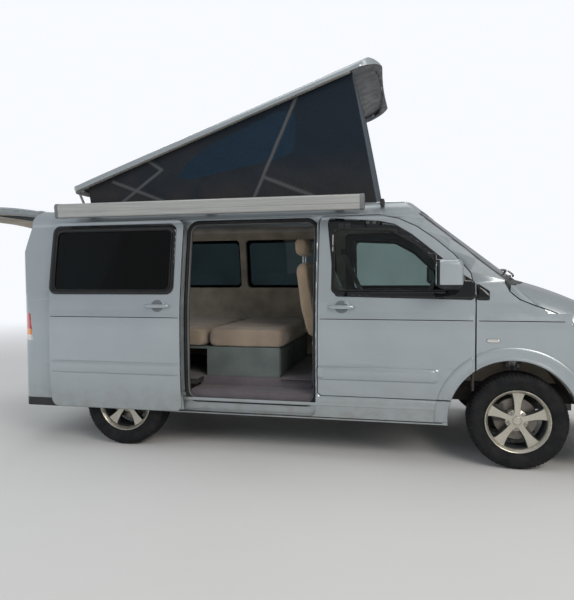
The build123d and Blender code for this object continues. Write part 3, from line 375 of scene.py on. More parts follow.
class Shade:
    # a Principled material and short ways to add nodes to it
    def __init__(self, name, colour, rough=0.5, metal=0.0, **sockets):
        self.material = bpy.data.materials.new(name)
        self.material.use_nodes = True
        self.tree = self.material.node_tree
        self.shader = self.tree.nodes["Principled BSDF"]
        self.coords = self.tree.nodes.new("ShaderNodeTexCoord")
        self.set("Base Color", (*colour, 1))
        self.set("Roughness", rough)
        self.set("Metallic", metal)
        for key, value in sockets.items():
            self.set(key.replace("_", " "), value)
        self.height = None

    def set(self, socket, value):
        self.shader.inputs[socket].default_value = value

    def link(self, a, b):
        self.tree.links.new(a, b)

    def feed(self, socket, value):
        # an output is linked to the socket, and anything else is its value
        if hasattr(value, "links"):
            self.link(value, socket)
        else:
            socket.default_value = value

    def mapped(self, kind, scale, change, value):
        # a texture node on object coordinates, which a mapping stretches or turns first
        n = self.tree.nodes.new("ShaderNodeTex" + kind)
        n.inputs["Scale"].default_value = scale
        m = self.tree.nodes.new("ShaderNodeMapping")
        m.inputs[change].default_value = value
        self.link(self.coords.outputs["Object"], m.inputs["Vector"])
        self.link(m.outputs["Vector"], n.inputs["Vector"])
        return n

    def noise(self, scale, detail=3, rough=0.5, stretch=None):
        n = self.mapped("Noise", scale, "Scale", stretch or (1, 1, 1))
        n.inputs["Detail"].default_value = detail
        n.inputs["Roughness"].default_value = rough
        return n.outputs["Fac"]

    def wave(self, scale, axis="X", profile="SIN", turn=(0, 0, 0)):
        n = self.mapped("Wave", scale, "Rotation", turn)
        n.bands_direction = axis
        n.wave_profile = profile
        return n.outputs["Fac"]

    def cells(self, scale):
        return self.mapped("Voronoi", scale, "Rotation", (0, 0, 0)).outputs["Distance"]

    def spread(self, value, low, high, a=0.0, b=1.0):
        # value from low..high carried to a..b
        n = self.tree.nodes.new("ShaderNodeMapRange")
        for socket, end in (("From Min", low), ("From Max", high), ("To Min", a), ("To Max", b)):
            n.inputs[socket].default_value = end
        self.link(value, n.inputs["Value"])
        return n.outputs["Result"]

    def math(self, kind, a, b):
        n = self.tree.nodes.new("ShaderNodeMath")
        n.operation = kind
        for socket, value in zip(n.inputs, (a, b)):
            self.feed(socket, value)
        return n.outputs[0]

    def tint(self, fac, first, second):
        # a colour between two, led by fac
        n = self.tree.nodes.new("ShaderNodeMix")
        n.data_type = "RGBA"
        self.link(fac, n.inputs[0])
        for socket, value in ((n.inputs[6], first), (n.inputs[7], second)):
            self.feed(socket, (*value, 1) if isinstance(value, tuple) else value)
        return n.outputs[2]

    def colour(self, output):
        self.link(output, self.shader.inputs["Base Color"])

    def roughness(self, output):
        self.link(output, self.shader.inputs["Roughness"])

    def axis(self, which):
        s = self.tree.nodes.new("ShaderNodeSeparateXYZ")
        self.link(self.coords.outputs["Object"], s.inputs[0])
        return s.outputs[which]

    def attribute(self, name):
        n = self.tree.nodes.new("ShaderNodeAttribute")
        n.attribute_name = name
        return n.outputs["Fac"]

    def bump(self, output, distance, strength=1.0):
        n = self.tree.nodes.new("ShaderNodeBump")
        n.inputs["Distance"].default_value = distance
        n.inputs["Strength"].default_value = strength
        self.link(output, n.inputs["Height"])
        if self.height is not None:
            self.link(self.height, n.inputs["Normal"])
        self.height = n.outputs["Normal"]
        self.link(self.height, self.shader.inputs["Normal"])


def paintMaterial():
    # silver metallic paint: flake sparkle, faint mottle, dust towards the sill
    p = Shade("silverPaint", (0.38, 0.43, 0.46), rough=0.34, metal=0.55, Coat_Weight=0.6, Coat_Roughness=0.05)
    base = p.tint(p.spread(p.noise(2.2, 4), 0.3, 0.7), (0.352, 0.402, 0.430), (0.405, 0.450, 0.474))
    flake = p.tint(p.spread(p.noise(700, 2, 0.7), 0.45, 0.75, 0.0, 0.4), base, (0.58, 0.61, 0.62))
    low = p.spread(p.axis(2), 0.62, 0.26)
    dust = p.math("MULTIPLY", low, p.spread(p.noise(9, 6, 0.65), 0.35, 0.75, 0.0, 0.75))
    p.colour(p.tint(dust, flake, (0.27, 0.25, 0.21)))
    p.roughness(p.math("ADD", p.spread(p.noise(30, 5), 0.3, 0.7, 0.30, 0.38), p.math("MULTIPLY", dust, 0.35)))
    return p.material


def plasticMaterial(name, colour, rough=0.55, grain=900, depth=0.0004, other=None):
    # moulded plastic: fine grain and a little uneven sheen
    p = Shade(name, colour, rough=rough)
    other = other or tuple(min(1, c * 1.5 + 0.01) for c in colour)
    p.colour(p.tint(p.spread(p.noise(6, 5), 0.35, 0.75), colour, other))
    p.roughness(p.spread(p.noise(14, 4), 0.3, 0.7, rough - 0.08, rough + 0.1))
    p.bump(p.cells(grain), depth, 0.5)
    return p.material


def metalMaterial(name, colour, rough=0.3, brushed=None, metal=1.0, depth=0.0001, shade=0.72):
    # cast or brushed metal
    p = Shade(name, colour, rough=rough, metal=metal)
    darker = tuple(c * shade for c in colour)
    streak = p.noise(60, 5, 0.6, stretch=brushed)
    p.colour(p.tint(p.spread(streak, 0.3, 0.7), darker, colour))
    p.roughness(p.spread(p.noise(25, 5, stretch=brushed), 0.3, 0.7, max(0.05, rough - 0.08), rough + 0.14))
    p.bump(p.noise(500, 3, stretch=brushed), depth, 0.4)
    return p.material


def clothMaterial(name, colour, light, weave=700, depth=0.0006, fuzz=0.3):
    # woven cloth: crossed threads, flecks of lighter yarn, soft sheen
    p = Shade(name, colour, rough=0.9, Sheen_Weight=fuzz, Sheen_Roughness=0.5)
    across = p.wave(weave, "X", turn=(0, 0, 0.4))
    along = p.wave(weave, "Z", turn=(0.3, 0, 0))
    threads = p.math("MAXIMUM", across, along)
    fleck = p.spread(p.noise(190, 4, 0.7), 0.42, 0.66)
    worn = p.spread(p.noise(5, 4), 0.35, 0.7, 0.0, 0.5)
    p.colour(p.tint(p.math("ADD", p.math("MULTIPLY", fleck, 0.5), worn), colour, light))
    p.bump(threads, depth, 0.6)
    p.bump(p.noise(24, 4), 0.004, 0.25)
    return p.material


def glassMaterial(name, colour, dark=0.5):
    # tinted glass: see-through body colour under a clear reflection, with faint dust
    p = Shade(name, colour, rough=0.02, Transmission_Weight=1.0, IOR=1.3)
    p.colour(p.tint(p.spread(p.noise(3, 4), 0.3, 0.8), colour, tuple(c * dark for c in colour)))
    p.roughness(p.spread(p.noise(12, 5), 0.4, 0.8, 0.01, 0.06))
    return p.material


paint = paintMaterial()
# a darker copy of the paint: painted shade inside the handle dishes
dishShadePaint = metalMaterial("dishShadePaint", (0.20, 0.225, 0.24), 0.36, metal=0.5, depth=0.00002, shade=0.85)
blackTrim = plasticMaterial("blackTrim", (0.012, 0.013, 0.015), 0.38)
seal = plasticMaterial("rubberSeal", (0.008, 0.008, 0.009), 0.8)
greyPlastic = plasticMaterial("greyPlastic", (0.13, 0.135, 0.14), 0.5)
# brownish inner trim whose warm, light tone is partly painted lamp light from inside the van
innerTrim = plasticMaterial("innerTrim", (0.33, 0.29, 0.235), 0.75, 500)
headlining = plasticMaterial("headlining", (0.40, 0.38, 0.34), 0.9, 1400)
darkPlastic = plasticMaterial("cabPlastic", (0.035, 0.037, 0.042), 0.6)
underside = plasticMaterial("underseal", (0.022, 0.022, 0.022), 0.8, 300, 0.001, (0.06, 0.05, 0.04))
cabGlass = glassMaterial("cabGlass", (0.55, 0.66, 0.64), 0.85)
privacyGlass = glassMaterial("privacyGlass", (0.030, 0.050, 0.056))
alloyFace = metalMaterial("alloyFace", (0.60, 0.57, 0.49), 0.30, metal=0.8, depth=0.00003, shade=0.90)
alloyDark = metalMaterial("alloyDark", (0.16, 0.18, 0.19), 0.35, metal=0.8)
bareSteel = metalMaterial("bareSteel", (0.42, 0.42, 0.43), 0.35, (1, 8, 8))
brakeSteel = metalMaterial("brakeSteel", (0.30, 0.27, 0.24), 0.45)
castIron = metalMaterial("castIron", (0.14, 0.13, 0.12), 0.6, metal=0.7)
chrome = metalMaterial("brightMetal", (0.80, 0.81, 0.82), 0.12)
anodised = metalMaterial("anodised", (0.46, 0.465, 0.45), 0.38, (0.05, 3, 3), metal=0.35)
engineMetal = metalMaterial("castEngine", (0.33, 0.33, 0.34), 0.5, metal=0.8)
seatCloth = clothMaterial("seatCloth", (0.26, 0.19, 0.13), (0.42, 0.32, 0.22))
benchCloth = clothMaterial("benchCloth", (0.24, 0.19, 0.15), (0.40, 0.32, 0.24))
board = plasticMaterial("greyBoard", (0.10, 0.125, 0.12), 0.6, 260, other=(0.15, 0.18, 0.17))
matting = clothMaterial("floorMat", (0.13, 0.115, 0.13), (0.20, 0.18, 0.20), 260, 0.0015, 0.1)


def tyreMaterial():
    # black rubber with a faint lighter mottle of dust and a fine grain
    p = Shade("tyreRubber", (0.012, 0.013, 0.015), rough=0.72, Specular_IOR_Level=0.25)
    p.colour(p.tint(p.spread(p.noise(16, 6, 0.7), 0.4, 0.75), (0.008, 0.009, 0.011), (0.022, 0.021, 0.020)))
    p.roughness(p.spread(p.noise(20, 4), 0.3, 0.7, 0.6, 0.85))
    p.bump(p.noise(260, 4), 0.0006, 0.5)
    return p.material


tyreRubber = tyreMaterial()


def lampMaterial(name, colour, deep, scale):
    # lamp lens: bright fluted reflector colours under a glossy clear cover
    p = Shade(name, colour, rough=0.08, metal=0.35, Coat_Weight=1.0, Coat_Roughness=0.02)
    flutes = p.wave(scale, "Y", profile="SAW")
    p.colour(p.tint(p.spread(flutes, 0.1, 0.9), colour, deep))
    p.bump(flutes, 0.002, 0.5)
    return p.material


def headLampMaterial(bowls):
    # clear lens over round chrome bowls whose reflection is painted as bright gradients, with dark rims, in a dark
    # housing
    p = Shade("headLens", (0.1, 0.1, 0.1), rough=0.06, metal=0.3, Coat_Weight=1.0, Coat_Roughness=0.02)
    sideways = p.math("ABSOLUTE", p.axis(1), 0.0)
    colour = p.tint(p.spread(p.wave(26, "Y"), 0.0, 1.0), (0.16, 0.17, 0.18), (0.26, 0.28, 0.30))
    for y, z, radius in bowls:
        across = p.math("POWER", p.math("SUBTRACT", sideways, y), 2.0)
        upwards = p.math("POWER", p.math("SUBTRACT", p.axis(2), z), 2.0)
        away = p.math("SQRT", p.math("ADD", across, upwards), 0.0)
        # painted reflection: each bowl runs from grey at its middle to near white at its rim, with a pale painted
        # highlight at its centre
        bowlReflection = p.tint(p.spread(away, 0.25 * radius, 0.9 * radius), (0.20, 0.22, 0.24), (0.80, 0.83, 0.86))
        colour = p.tint(p.spread(away, radius + 0.010, radius + 0.008), colour, (0.03, 0.03, 0.03))
        colour = p.tint(p.spread(away, radius, radius - 0.002), colour, bowlReflection)
        colour = p.tint(p.spread(away, 0.27 * radius, 0.25 * radius), colour, (0.50, 0.54, 0.58))
    p.colour(colour)
    p.bump(p.wave(26, "Y"), 0.0006, 0.3)
    return p.material


headLens = headLampMaterial([(0.555, 0.858, 0.078), (0.738, 0.862, 0.070)])
redLens = lampMaterial("redLens", (0.50, 0.015, 0.012), (0.30, 0.006, 0.006), 16)
clearLens = lampMaterial("clearLens", (0.78, 0.78, 0.76), (0.55, 0.55, 0.53), 16)
amberLens = lampMaterial("amberLens", (0.85, 0.32, 0.03), (0.6, 0.18, 0.02), 16)

print("materials made")


def depthUnderSkin(centre):
    # how far inside the body side a point lies
    return halfWidth(centre[:, 0] - frontAxle, centre[:, 2]) - np.abs(centre[:, 1])


def sideTrim(limit, shift=0.0, along=0.0):
    # material 1 on faces deeper than the limit, 0 on the outer skin
    def pick(centre, normal):
        moved = centre.copy()
        moved[:, 1] = np.sign(centre[:, 1]) * (np.abs(centre[:, 1]) - shift)
        moved[:, 0] = centre[:, 0] + along
        return (depthUnderSkin(moved) > limit) & (np.abs(centre[:, 1]) < 0.93 + shift)
    return pick


def withHinges(pick):
    # material 2 on the barrels, arms and knuckles of the front door hinges
    def wider(centre, normal):
        station = centre[:, 0] - frontAxle
        upright = (np.abs(centre[:, 2] - 0.6175) < 0.075) | (np.abs(centre[:, 2] - 1.0275) < 0.075)
        near = (station > -0.3185) & (station < -0.2955) & (np.abs(centre[:, 1]) > 0.876) & upright
        return np.where(near & (depthUnderSkin(centre) > 0.0005), 2, pick(centre, normal))
    return wider


def darkCab(pick):
    # material 3 instead of 1 ahead of the sliding door
    def wider(centre, normal):
        index = pick(centre, normal)
        return np.where((index == 1) & (centre[:, 0] > frontAxle - 1.425), 3, index)
    return wider


# faces deeper than this under the skin are trim
sideSkin = 0.027
doorSkin = 0.016
for side in ("left", "right"):
    for node, skin in (("body_side_", sideSkin), ("front_door_", doorSkin)):
        swapIn(node + side, [paint, innerTrim, underside, darkPlastic], darkCab(withHinges(sideTrim(skin))))
swapIn("sliding_door", [paint, innerTrim], sideTrim(doorSkin, slideOut, slideBack))
swapIn("roof_frame", [paint, headlining], lambda c, n: (n[:, 2] < -0.5) | (c[:, 2] < 1.80), cuts=[(2, 1.80)])
for node in ("front_wing_left", "front_wing_right", "bonnet"):
    swapIn(node, [paint, underside], lambda c, n: (n[:, 2] < -0.35))
swapIn("cowl", [blackTrim])
swapIn("tailgate", [paint, innerTrim], lambda c, n: n[:, 2] < -0.25)
# the lid's underside is headlining inside the tent; outside it the underside is black trim, painted shade under the
# lid's rim
swapIn("pop_roof", [paint, headlining, blackTrim],
       lambda c, n: np.where(n[:, 2] < -0.2, np.where(c[:, 0] < frontAxle - 1.19, 1, 2), 0),
       cuts=[(0, frontAxle - 1.19)])
swapIn("front_bumper", [paint, blackTrim], lambda c, n: c[:, 2] < 0.40, cuts=[(2, 0.40)])
swapIn("rear_bumper", [paint, blackTrim], lambda c, n: c[:, 2] < 0.36, cuts=[(2, 0.36)])
swapIn("grille", [blackTrim])
swapIn("headlamps", [headLens])
swapIn("tail_lamps", [redLens, clearLens, amberLens],
       lambda c, n: np.where(c[:, 2] < 0.885, 1, np.where(c[:, 2] < 0.935, 2, 0)), cuts=[(2, 0.885), (2, 0.935)])
for node, glass in (("windscreen", cabGlass), ("front_door_glass_left", cabGlass),
                    ("front_door_glass_right", cabGlass), ("side_glass", privacyGlass),
                    ("sliding_door_glass", privacyGlass), ("tailgate_glass", privacyGlass)):
    swapIn(node, [glass])
print("shell dressed")

swapIn("floor", [underside, matting], lambda c, n: (n[:, 2] > 0.5) & (c[:, 2] > 0.46))
swapIn("bulkhead", [underside, darkPlastic], lambda c, n: n[:, 0] < -0.3)
swapIn("wheel_housings", [underside, innerTrim],
       lambda c, n: (c[:, 2] > 0.545) & (np.abs(c[:, 1]) < 0.9) & (n[:, 2] > -0.2), cuts=[(2, 0.545)])
for node, material in (("front_subframe", castIron), ("front_struts", bareSteel), ("rear_axle", castIron),
                       ("knuckle_left", castIron), ("knuckle_right", castIron), ("engine", engineMetal),
                       ("radiator", alloyDark), ("exhaust", bareSteel), ("fuel_tank", darkPlastic),
                       ("dashboard", darkPlastic), ("steering_column", darkPlastic), ("steering_wheel", darkPlastic),
                       ("bench_base", board), ("bed_platform", board), ("roof_links", bareSteel),
                       ("roof_struts", bareSteel), ("awning_brackets", blackTrim), ("awning_case", anodised),
                       ("awning_caps", greyPlastic)):
    swapIn(node, [material])
for side in ("left", "right"):
    swapIn("mirror_" + side, [paint, blackTrim], lambda c, n: (c[:, 0] < frontAxle - 0.545) | (c[:, 2] < 1.30),
           cuts=[(0, frontAxle - 0.545), (2, 1.30)])
print("hard parts dressed")

# profiles of (radius, outwards) that are turned about a wheel's axis
wheelProfiles = {
    "barrel": [(0.2035, 0.0735), (0.2035, 0.060), (0.1965, 0.050), (0.1965, -0.075), (0.1985, -0.0895),
               (0.2215, -0.0915), (0.2215, -0.0845), (0.2050, -0.0775), (0.2050, 0.0735), (0.2035, 0.0735)],
    "lip": [(0.1975, 0.0585), (0.1985, 0.0690), (0.2025, 0.0760), (0.2125, 0.0855), (0.2160, 0.0905),
            (0.2195, 0.0918), (0.2218, 0.0900), (0.2215, 0.0845), (0.2055, 0.0765), (0.2035, 0.0600),
            (0.1975, 0.0585)],
    "hub": [(0.0, 0.0600), (0.0260, 0.0598), (0.0290, 0.0575), (0.0300, 0.0545), (0.0315, 0.0540), (0.0325, 0.0565),
            (0.0400, 0.0560), (0.0560, 0.0500), (0.0760, 0.0400), (0.0780, 0.0150), (0.0780, -0.0100),
            (0.0310, -0.0100)],
    "disc": [(0.0500, -0.0170), (0.1480, -0.0170), (0.1495, -0.0185), (0.1495, -0.0245), (0.1440, -0.0260),
             (0.1440, -0.0320), (0.1495, -0.0335), (0.1495, -0.0400), (0.1480, -0.0415), (0.0500, -0.0415),
             (0.0500, -0.0170)],
    "nut": [(0.0, 0.0465), (0.0075, 0.0465), (0.0088, 0.0450), (0.0088, 0.0380), (0.0130, 0.0370), (0.0140, 0.0355),
            (0.0140, 0.0300)],
}
wheelSpec = {"spokes": 5, "first": math.radians(16), "lugs": 5, "lugCircle": 0.056, "notches": 72, "around": 576}


def tyreSurface(spec):
    # radius and outward place over (turn, profile): grooves run round it and notches cross its shoulders
    bead = [(0.2055, 0.0755), (0.2235, 0.0838), (0.2345, 0.0915), (0.2420, 0.0960), (0.2600, 0.1015),
            (0.2750, 0.1045), (0.2900, 0.1065), (0.3050, 0.1045), (0.3170, 0.0985), (0.3260, 0.0915),
            (0.3320, 0.0850), (0.3355, 0.0760), (0.3368, 0.0680), (0.3373, 0.0600)]
    tread = []
    for middle in (0.0480, 0.0160, -0.0160, -0.0480):
        tread += [(0.3376, middle + 0.0052), (0.3305, middle + 0.0040), (0.3305, middle - 0.0040),
                  (0.3376, middle - 0.0052)]
    rows = np.array(bead + tread + [(r, -a) for r, a in reversed(bead)] + [(0.2055, 0.0)])
    turn = np.linspace(0, 2 * math.pi, spec["around"], endpoint=False)
    radius = np.repeat(rows[None, :, 0], spec["around"], 0)
    phase = (turn[:, None] * spec["notches"] / (2 * math.pi) + 3.5 * np.abs(rows[None, :, 1]) / 0.1 * 0.2) % 1
    shoulder = (np.abs(rows[:, 1]) > 0.055) & (rows[:, 0] > 0.315)
    ribs = (np.abs(rows[:, 1]) < 0.05) & (rows[:, 0] > 0.336)
    radius = radius - 0.0060 * shoulder[None, :] * (phase < 0.24) - 0.0035 * ribs[None, :] * (phase < 0.13)
    return turn, radius, rows[:, 1]


def spokeMesh():
    # one spoke lofted from the hub to the rim: along it the face widens and dips, its sides slope back to the barrel
    s = np.linspace(0, 1, 15)
    radius = 0.036 + s * (0.2005 - 0.036)
    half = 0.0235 - 0.004 * np.sin(math.pi * s) + 0.024 * s ** 2.2
    face = 0.0555 - 0.006 * np.sin(math.pi * s * 0.9) + 0.0085 * s ** 2
    back = face - 0.030
    section = [(-1.0, "b", 1.16), (-1.0, "f", 1.0), (-0.90, "t", 1.0), (0.0, "m", 1.0), (0.90, "t", 1.0),
               (1.0, "f", 1.0), (1.0, "b", 1.16)]
    height = {"b": back, "f": face - 0.0035, "t": face, "m": face - 0.0008}
    cross = np.stack([half * w * k for w, key, k in section], 1)
    out = np.stack([height[key] for w, key, k in section], 1)
    along = np.repeat(radius[:, None], len(section), 1)
    return along, cross, out


def wheelPieces(spec, end, name, side, station):
    centre = (frontAxle + station, side * halfTrack, axleHeight)
    body = "wheel_" + end + "_" + name
    tag = end.capitalize() + name.capitalize()
    turn, radius, out = tyreSurface(spec)
    x = centre[0] + radius * np.cos(turn)[:, None]
    z = centre[2] + radius * np.sin(turn)[:, None]
    y = centre[1] + side * np.broadcast_to(out[None, :], x.shape)
    tyre = newPiece("tyre" + tag, np.stack([x, y, z], -1), gridFaces(len(turn), len(out), True, True), body,
                    tyreRubber, stands=("tyre_" + end + "_" + name,), slotName="tyre")
    sharpen(tidyNormals(tyre), 38)

    for title, material, degrees, more in (("barrel", alloyDark, 40, {"stands": (body,)}),
                                           ("lip", alloyFace, 50, {"slotName": "alloy"}),
                                           ("hub", alloyFace, 30, {}), ("disc", brakeSteel, 30, {})):
        sharpen(lathe(title + tag, wheelProfiles[title], centre, side, body, material, **more), degrees)

    along, cross, outPlace = spokeMesh()
    verts, faces = [], []
    rows, columns = along.shape
    for k in range(spec["spokes"]):
        a = spec["first"] + 2 * math.pi * k / spec["spokes"]
        u = along * math.cos(a) - cross * math.sin(a)
        v = along * math.sin(a) + cross * math.cos(a)
        start = len(verts) * rows * columns
        verts.append(np.stack([centre[0] - side * u, centre[1] + side * outPlace, centre[2] + v], -1).reshape(-1, 3))
        faces += (gridFaces(rows, columns, closeColumns=True) + start).tolist()
        faces += [[start + i for i in range(columns)], [start + (rows - 1) * columns + i for i in range(columns)]]
    spokes = newPiece("spokes" + tag, np.concatenate(verts), faces, body, [alloyFace, alloyDark])
    tidyNormals(spokes)
    normal = np.zeros(len(spokes.data.polygons) * 3)
    spokes.data.polygons.foreach_get("normal", normal)
    spokes.data.polygons.foreach_set("material_index", (normal.reshape(-1, 3)[:, 1] * side < 0.72).astype(int))
    sharpen(spokes, 25)

    nutProfile = np.array(wheelProfiles["nut"])
    verts, faces = [], []
    t = np.linspace(0, 2 * math.pi, 24, endpoint=False)
    for k in range(spec["lugs"]):
        a = spec["first"] + 2 * math.pi * (k + 0.5) / spec["lugs"]
        u = spec["lugCircle"] * math.cos(a) + nutProfile[None, :, 0] * np.cos(t)[:, None]
        v = spec["lugCircle"] * math.sin(a) + nutProfile[None, :, 0] * np.sin(t)[:, None]
        w = np.broadcast_to(nutProfile[None, :, 1] + 0.008, u.shape)
        faces += (gridFaces(24, len(nutProfile), closeRows=True) + len(verts) * 24 * len(nutProfile)).tolist()
        verts.append(np.stack([centre[0] - side * u, centre[1] + side * w, centre[2] + v], -1).reshape(-1, 3))
    sharpen(tidyNormals(newPiece("nuts" + tag, np.concatenate(verts), faces, body, bareSteel)), 35)


for end, station in (("front", 0.0), ("rear", -wheelbase)):
    for name, side in (("left", 1), ("right", -1)):
        wheelPieces(wheelSpec, end, name, side, station)
print("wheels made")


def ellipse(x, y, across, high, count):
    t = np.linspace(0, 2 * math.pi, count, endpoint=False)
    return np.stack([x + across * np.cos(t), y + high * np.sin(t)], -1)


def onWall(station):
    # puts (y, height) on an upright wall across the van
    return lambda y, height, out: np.stack([np.full(np.shape(y), frontAxle + station), y, height], -1)


def clipped(outline, level, keepBelow):
    # the part of an outline behind or ahead of a station
    result = []
    for a, b in zip(outline, outline[1:] + outline[:1]):
        insideA = (a[0] <= level) == keepBelow
        insideB = (b[0] <= level) == keepBelow
        if insideA:
            result.append(a)
        if insideA != insideB:
            t = (level - a[0]) / (b[0] - a[0])
            result.append((level, a[1] + t * (b[1] - a[1])))
    return result


frit = Shade("gloss black", (0.010, 0.012, 0.014), rough=0.05)
frit.colour(frit.tint(frit.spread(frit.noise(4, 4), 0.3, 0.8), (0.005, 0.006, 0.007), (0.009, 0.011, 0.012)))
frit.roughness(frit.spread(frit.noise(9, 5), 0.35, 0.8, 0.03, 0.12))
fritBlack = frit.material

frontPane = {
    "outer": [(-1.337, 1.797), (-0.959, 1.765), (-0.850, 1.740), (-0.728, 1.663), (-0.602, 1.559), (-0.465, 1.443),
              (-0.357, 1.358), (-0.199, 1.253), (-0.199, 1.188), (-1.281, 1.211), (-1.344, 1.751)],
    "clear": [(-1.288, 1.256), (-0.462, 1.256), (-0.494, 1.392), (-0.700, 1.588), (-0.884, 1.690), (-1.288, 1.712)],
    "turns": [0.04, 0.04, 0.06, 0.12, 0.09, 0.04],
    "seam": (-0.2955, -0.2845),
}
paneLift = 0.0022
for name, side in (("left", 1), ("right", -1)):
    behind = clipped(frontPane["outer"], frontPane["seam"][0], True)
    ahead = clipped(frontPane["outer"], frontPane["seam"][1], False)
    clear = rounded(frontPane["clear"], frontPane["turns"])
    place = onSide(side, paneLift)
    patch("frontWindowBand" + name.capitalize(), rounded(behind, 0.028), place, "front_door_" + name, fritBlack,
          holes=[clear], thickness=0.003)
    patch("quarterBand" + name.capitalize(), rounded(ahead, 0.010), place, "van_body", fritBlack, thickness=0.003)
    band("frontWindowSeal" + name.capitalize(), clear, bead(0.010, 0.0045), place, "front_door_" + name, seal)

# title, outline of the black band, outline of the clear glass, where they lie
sidePanes = [
    ("slidingWindow", [(-2.523, 1.225), (-3.604, 1.225), (-3.604, 1.777), (-2.523, 1.777)],
     [(-2.560, 1.258), (-3.560, 1.258), (-3.560, 1.728), (-2.560, 1.728)], onSlidingDoor(paneLift)),
    ("rearWindowRight", [(-2.600, 1.205), (-3.640, 1.205), (-3.620, 1.777), (-2.600, 1.777)],
     [(-2.665, 1.262), (-3.535, 1.262), (-3.535, 1.724), (-2.665, 1.724)], onSide(-1, paneLift)),
    ("sideWindowLeft", [(-2.500, 1.205), (-1.450, 1.205), (-1.450, 1.777), (-2.500, 1.777)],
     [(-2.445, 1.262), (-1.515, 1.262), (-1.515, 1.724), (-2.445, 1.724)], onSide(1, paneLift)),
    ("rearWindowLeft", [(-2.510, 1.205), (-3.640, 1.205), (-3.620, 1.777), (-2.510, 1.777)],
     [(-2.560, 1.262), (-3.535, 1.262), (-3.535, 1.724), (-2.560, 1.724)], onSide(1, paneLift)),
]
for title, outer, clear, place in sidePanes:
    patch(title + "Band", rounded(outer, 0.060), place, "van_body", fritBlack, holes=[rounded(clear, 0.045)],
          thickness=0.003)
    band(title + "Seal", rounded(clear, 0.045), bead(0.009, 0.004), place, "van_body", seal)
print("window bands made")


def onScreen(lift):
    # (y, height) on the windscreen: a cylinder of radius 2.3 m leaning back 1.274 for each unit up
    def place(y, height, out):
        y, height = np.asarray(y, float), np.asarray(height, float)
        station = 0.122 - 1.274 * (height - 1.300) - (2.3 - np.sqrt(2.3 ** 2 - y ** 2))
        away = lift + out
        return np.stack([frontAxle + station + 0.617 * away, y, height + 0.787 * away], -1)
    return place


screenOuter = [(-0.846, 1.346), (0.846, 1.346), (0.711, 1.856), (-0.711, 1.856)]
screenClear = [(-0.790, 1.392), (0.790, 1.392), (0.672, 1.818), (-0.672, 1.818)]
patch("screenBand", rounded(screenOuter, 0.075), onScreen(-0.0030), "van_body", fritBlack,
      holes=[rounded(screenClear, 0.06)], thickness=0.002)


def wiper(title, pivot, tip):
    # arm and blade lying on the windscreen
    pivot, tip = np.array(pivot), np.array(tip)
    t = np.linspace(0, 1, 13)[:, None]
    place = onScreen(0.0)
    line = pivot + (tip - pivot) * t
    blade = place(line[:, 0], line[:, 1] + 0.004, 0.010 + 0.006 * np.sin(math.pi * t[:, 0]))
    tube("blade" + title, blade, 0.006, "van_body", blackTrim,
         section=[(-0.004, -0.008), (0.004, -0.008), (0.007, 0.004), (0.0, 0.009), (-0.007, 0.004)])
    arm = place(line[:8, 0], line[:8, 1] - 0.024 * np.cos(math.pi * t[:8, 0] * 0.9) - 0.012, 0.024)
    tube("arm" + title, arm, 0.007, "van_body", blackTrim, around=10)


wiper("Right", (-0.66, 1.372), (-0.06, 1.395))
wiper("Left", (0.02, 1.372), (0.62, 1.395))
print("screen made")


def strip(title, first, last, rows, place, body, material, fade=0.05):
    # rows of (height, out) carried along the body between two stations and faded out at its ends
    rows = np.asarray(rows, float)
    s = np.linspace(first, last, max(8, int(abs(last - first) / 0.03)))
    edge = np.minimum(1, np.minimum(np.abs(s - first), np.abs(s - last)) / fade)[:, None]
    height = np.broadcast_to(rows[None, :, 0], (len(s), len(rows)))
    out = -0.0012 + (rows[None, :, 1] + 0.0012) * edge
    points = place(np.broadcast_to(s[:, None], height.shape), height, out)
    back = place(np.broadcast_to(s[:, None], height.shape), height, np.full(height.shape, -0.0016))
    both = np.concatenate([points, back[:, ::-1]], 1)
    n, m = both.shape[:2]
    faces = gridFaces(n, m, closeColumns=True).tolist() + [list(range(m)), [(n - 1) * m + i for i in range(m)]]
    return sharpen(tidyNormals(newPiece(title, both, faces, body, material)), 50)


# each strip's section as (height, out)
stripRows = {
    "crease": [(1.0340, 0.0), (1.0400, 0.0004), (1.0470, 0.0012), (1.0490, 0.0048), (1.0530, 0.0046),
               (1.0640, 0.0030), (1.0820, 0.0012), (1.1000, 0.0)],
    # line: a thin black strip in the crease, painted shadow of the crease
    "line": [(1.0418, 0.0004), (1.0424, 0.0016), (1.0474, 0.0016), (1.0480, 0.0004)],
    "mould": [(0.5960, 0.0), (0.5990, 0.0070), (0.6080, 0.0108), (0.6480, 0.0132), (0.6700, 0.0136), (0.6870, 0.0095),
              (0.6950, 0.0)],
    "sill": [(0.3940, 0.0), (0.3990, 0.0022), (0.4030, 0.0030), (0.4080, 0.0012), (0.4180, 0.0)],
    # groove: a thin black strip low on the sill, painted shade of a groove
    "grooveShadow": [(0.3010, 0.0008), (0.3020, 0.0022), (0.3070, 0.0022), (0.3080, 0.0008)],
}
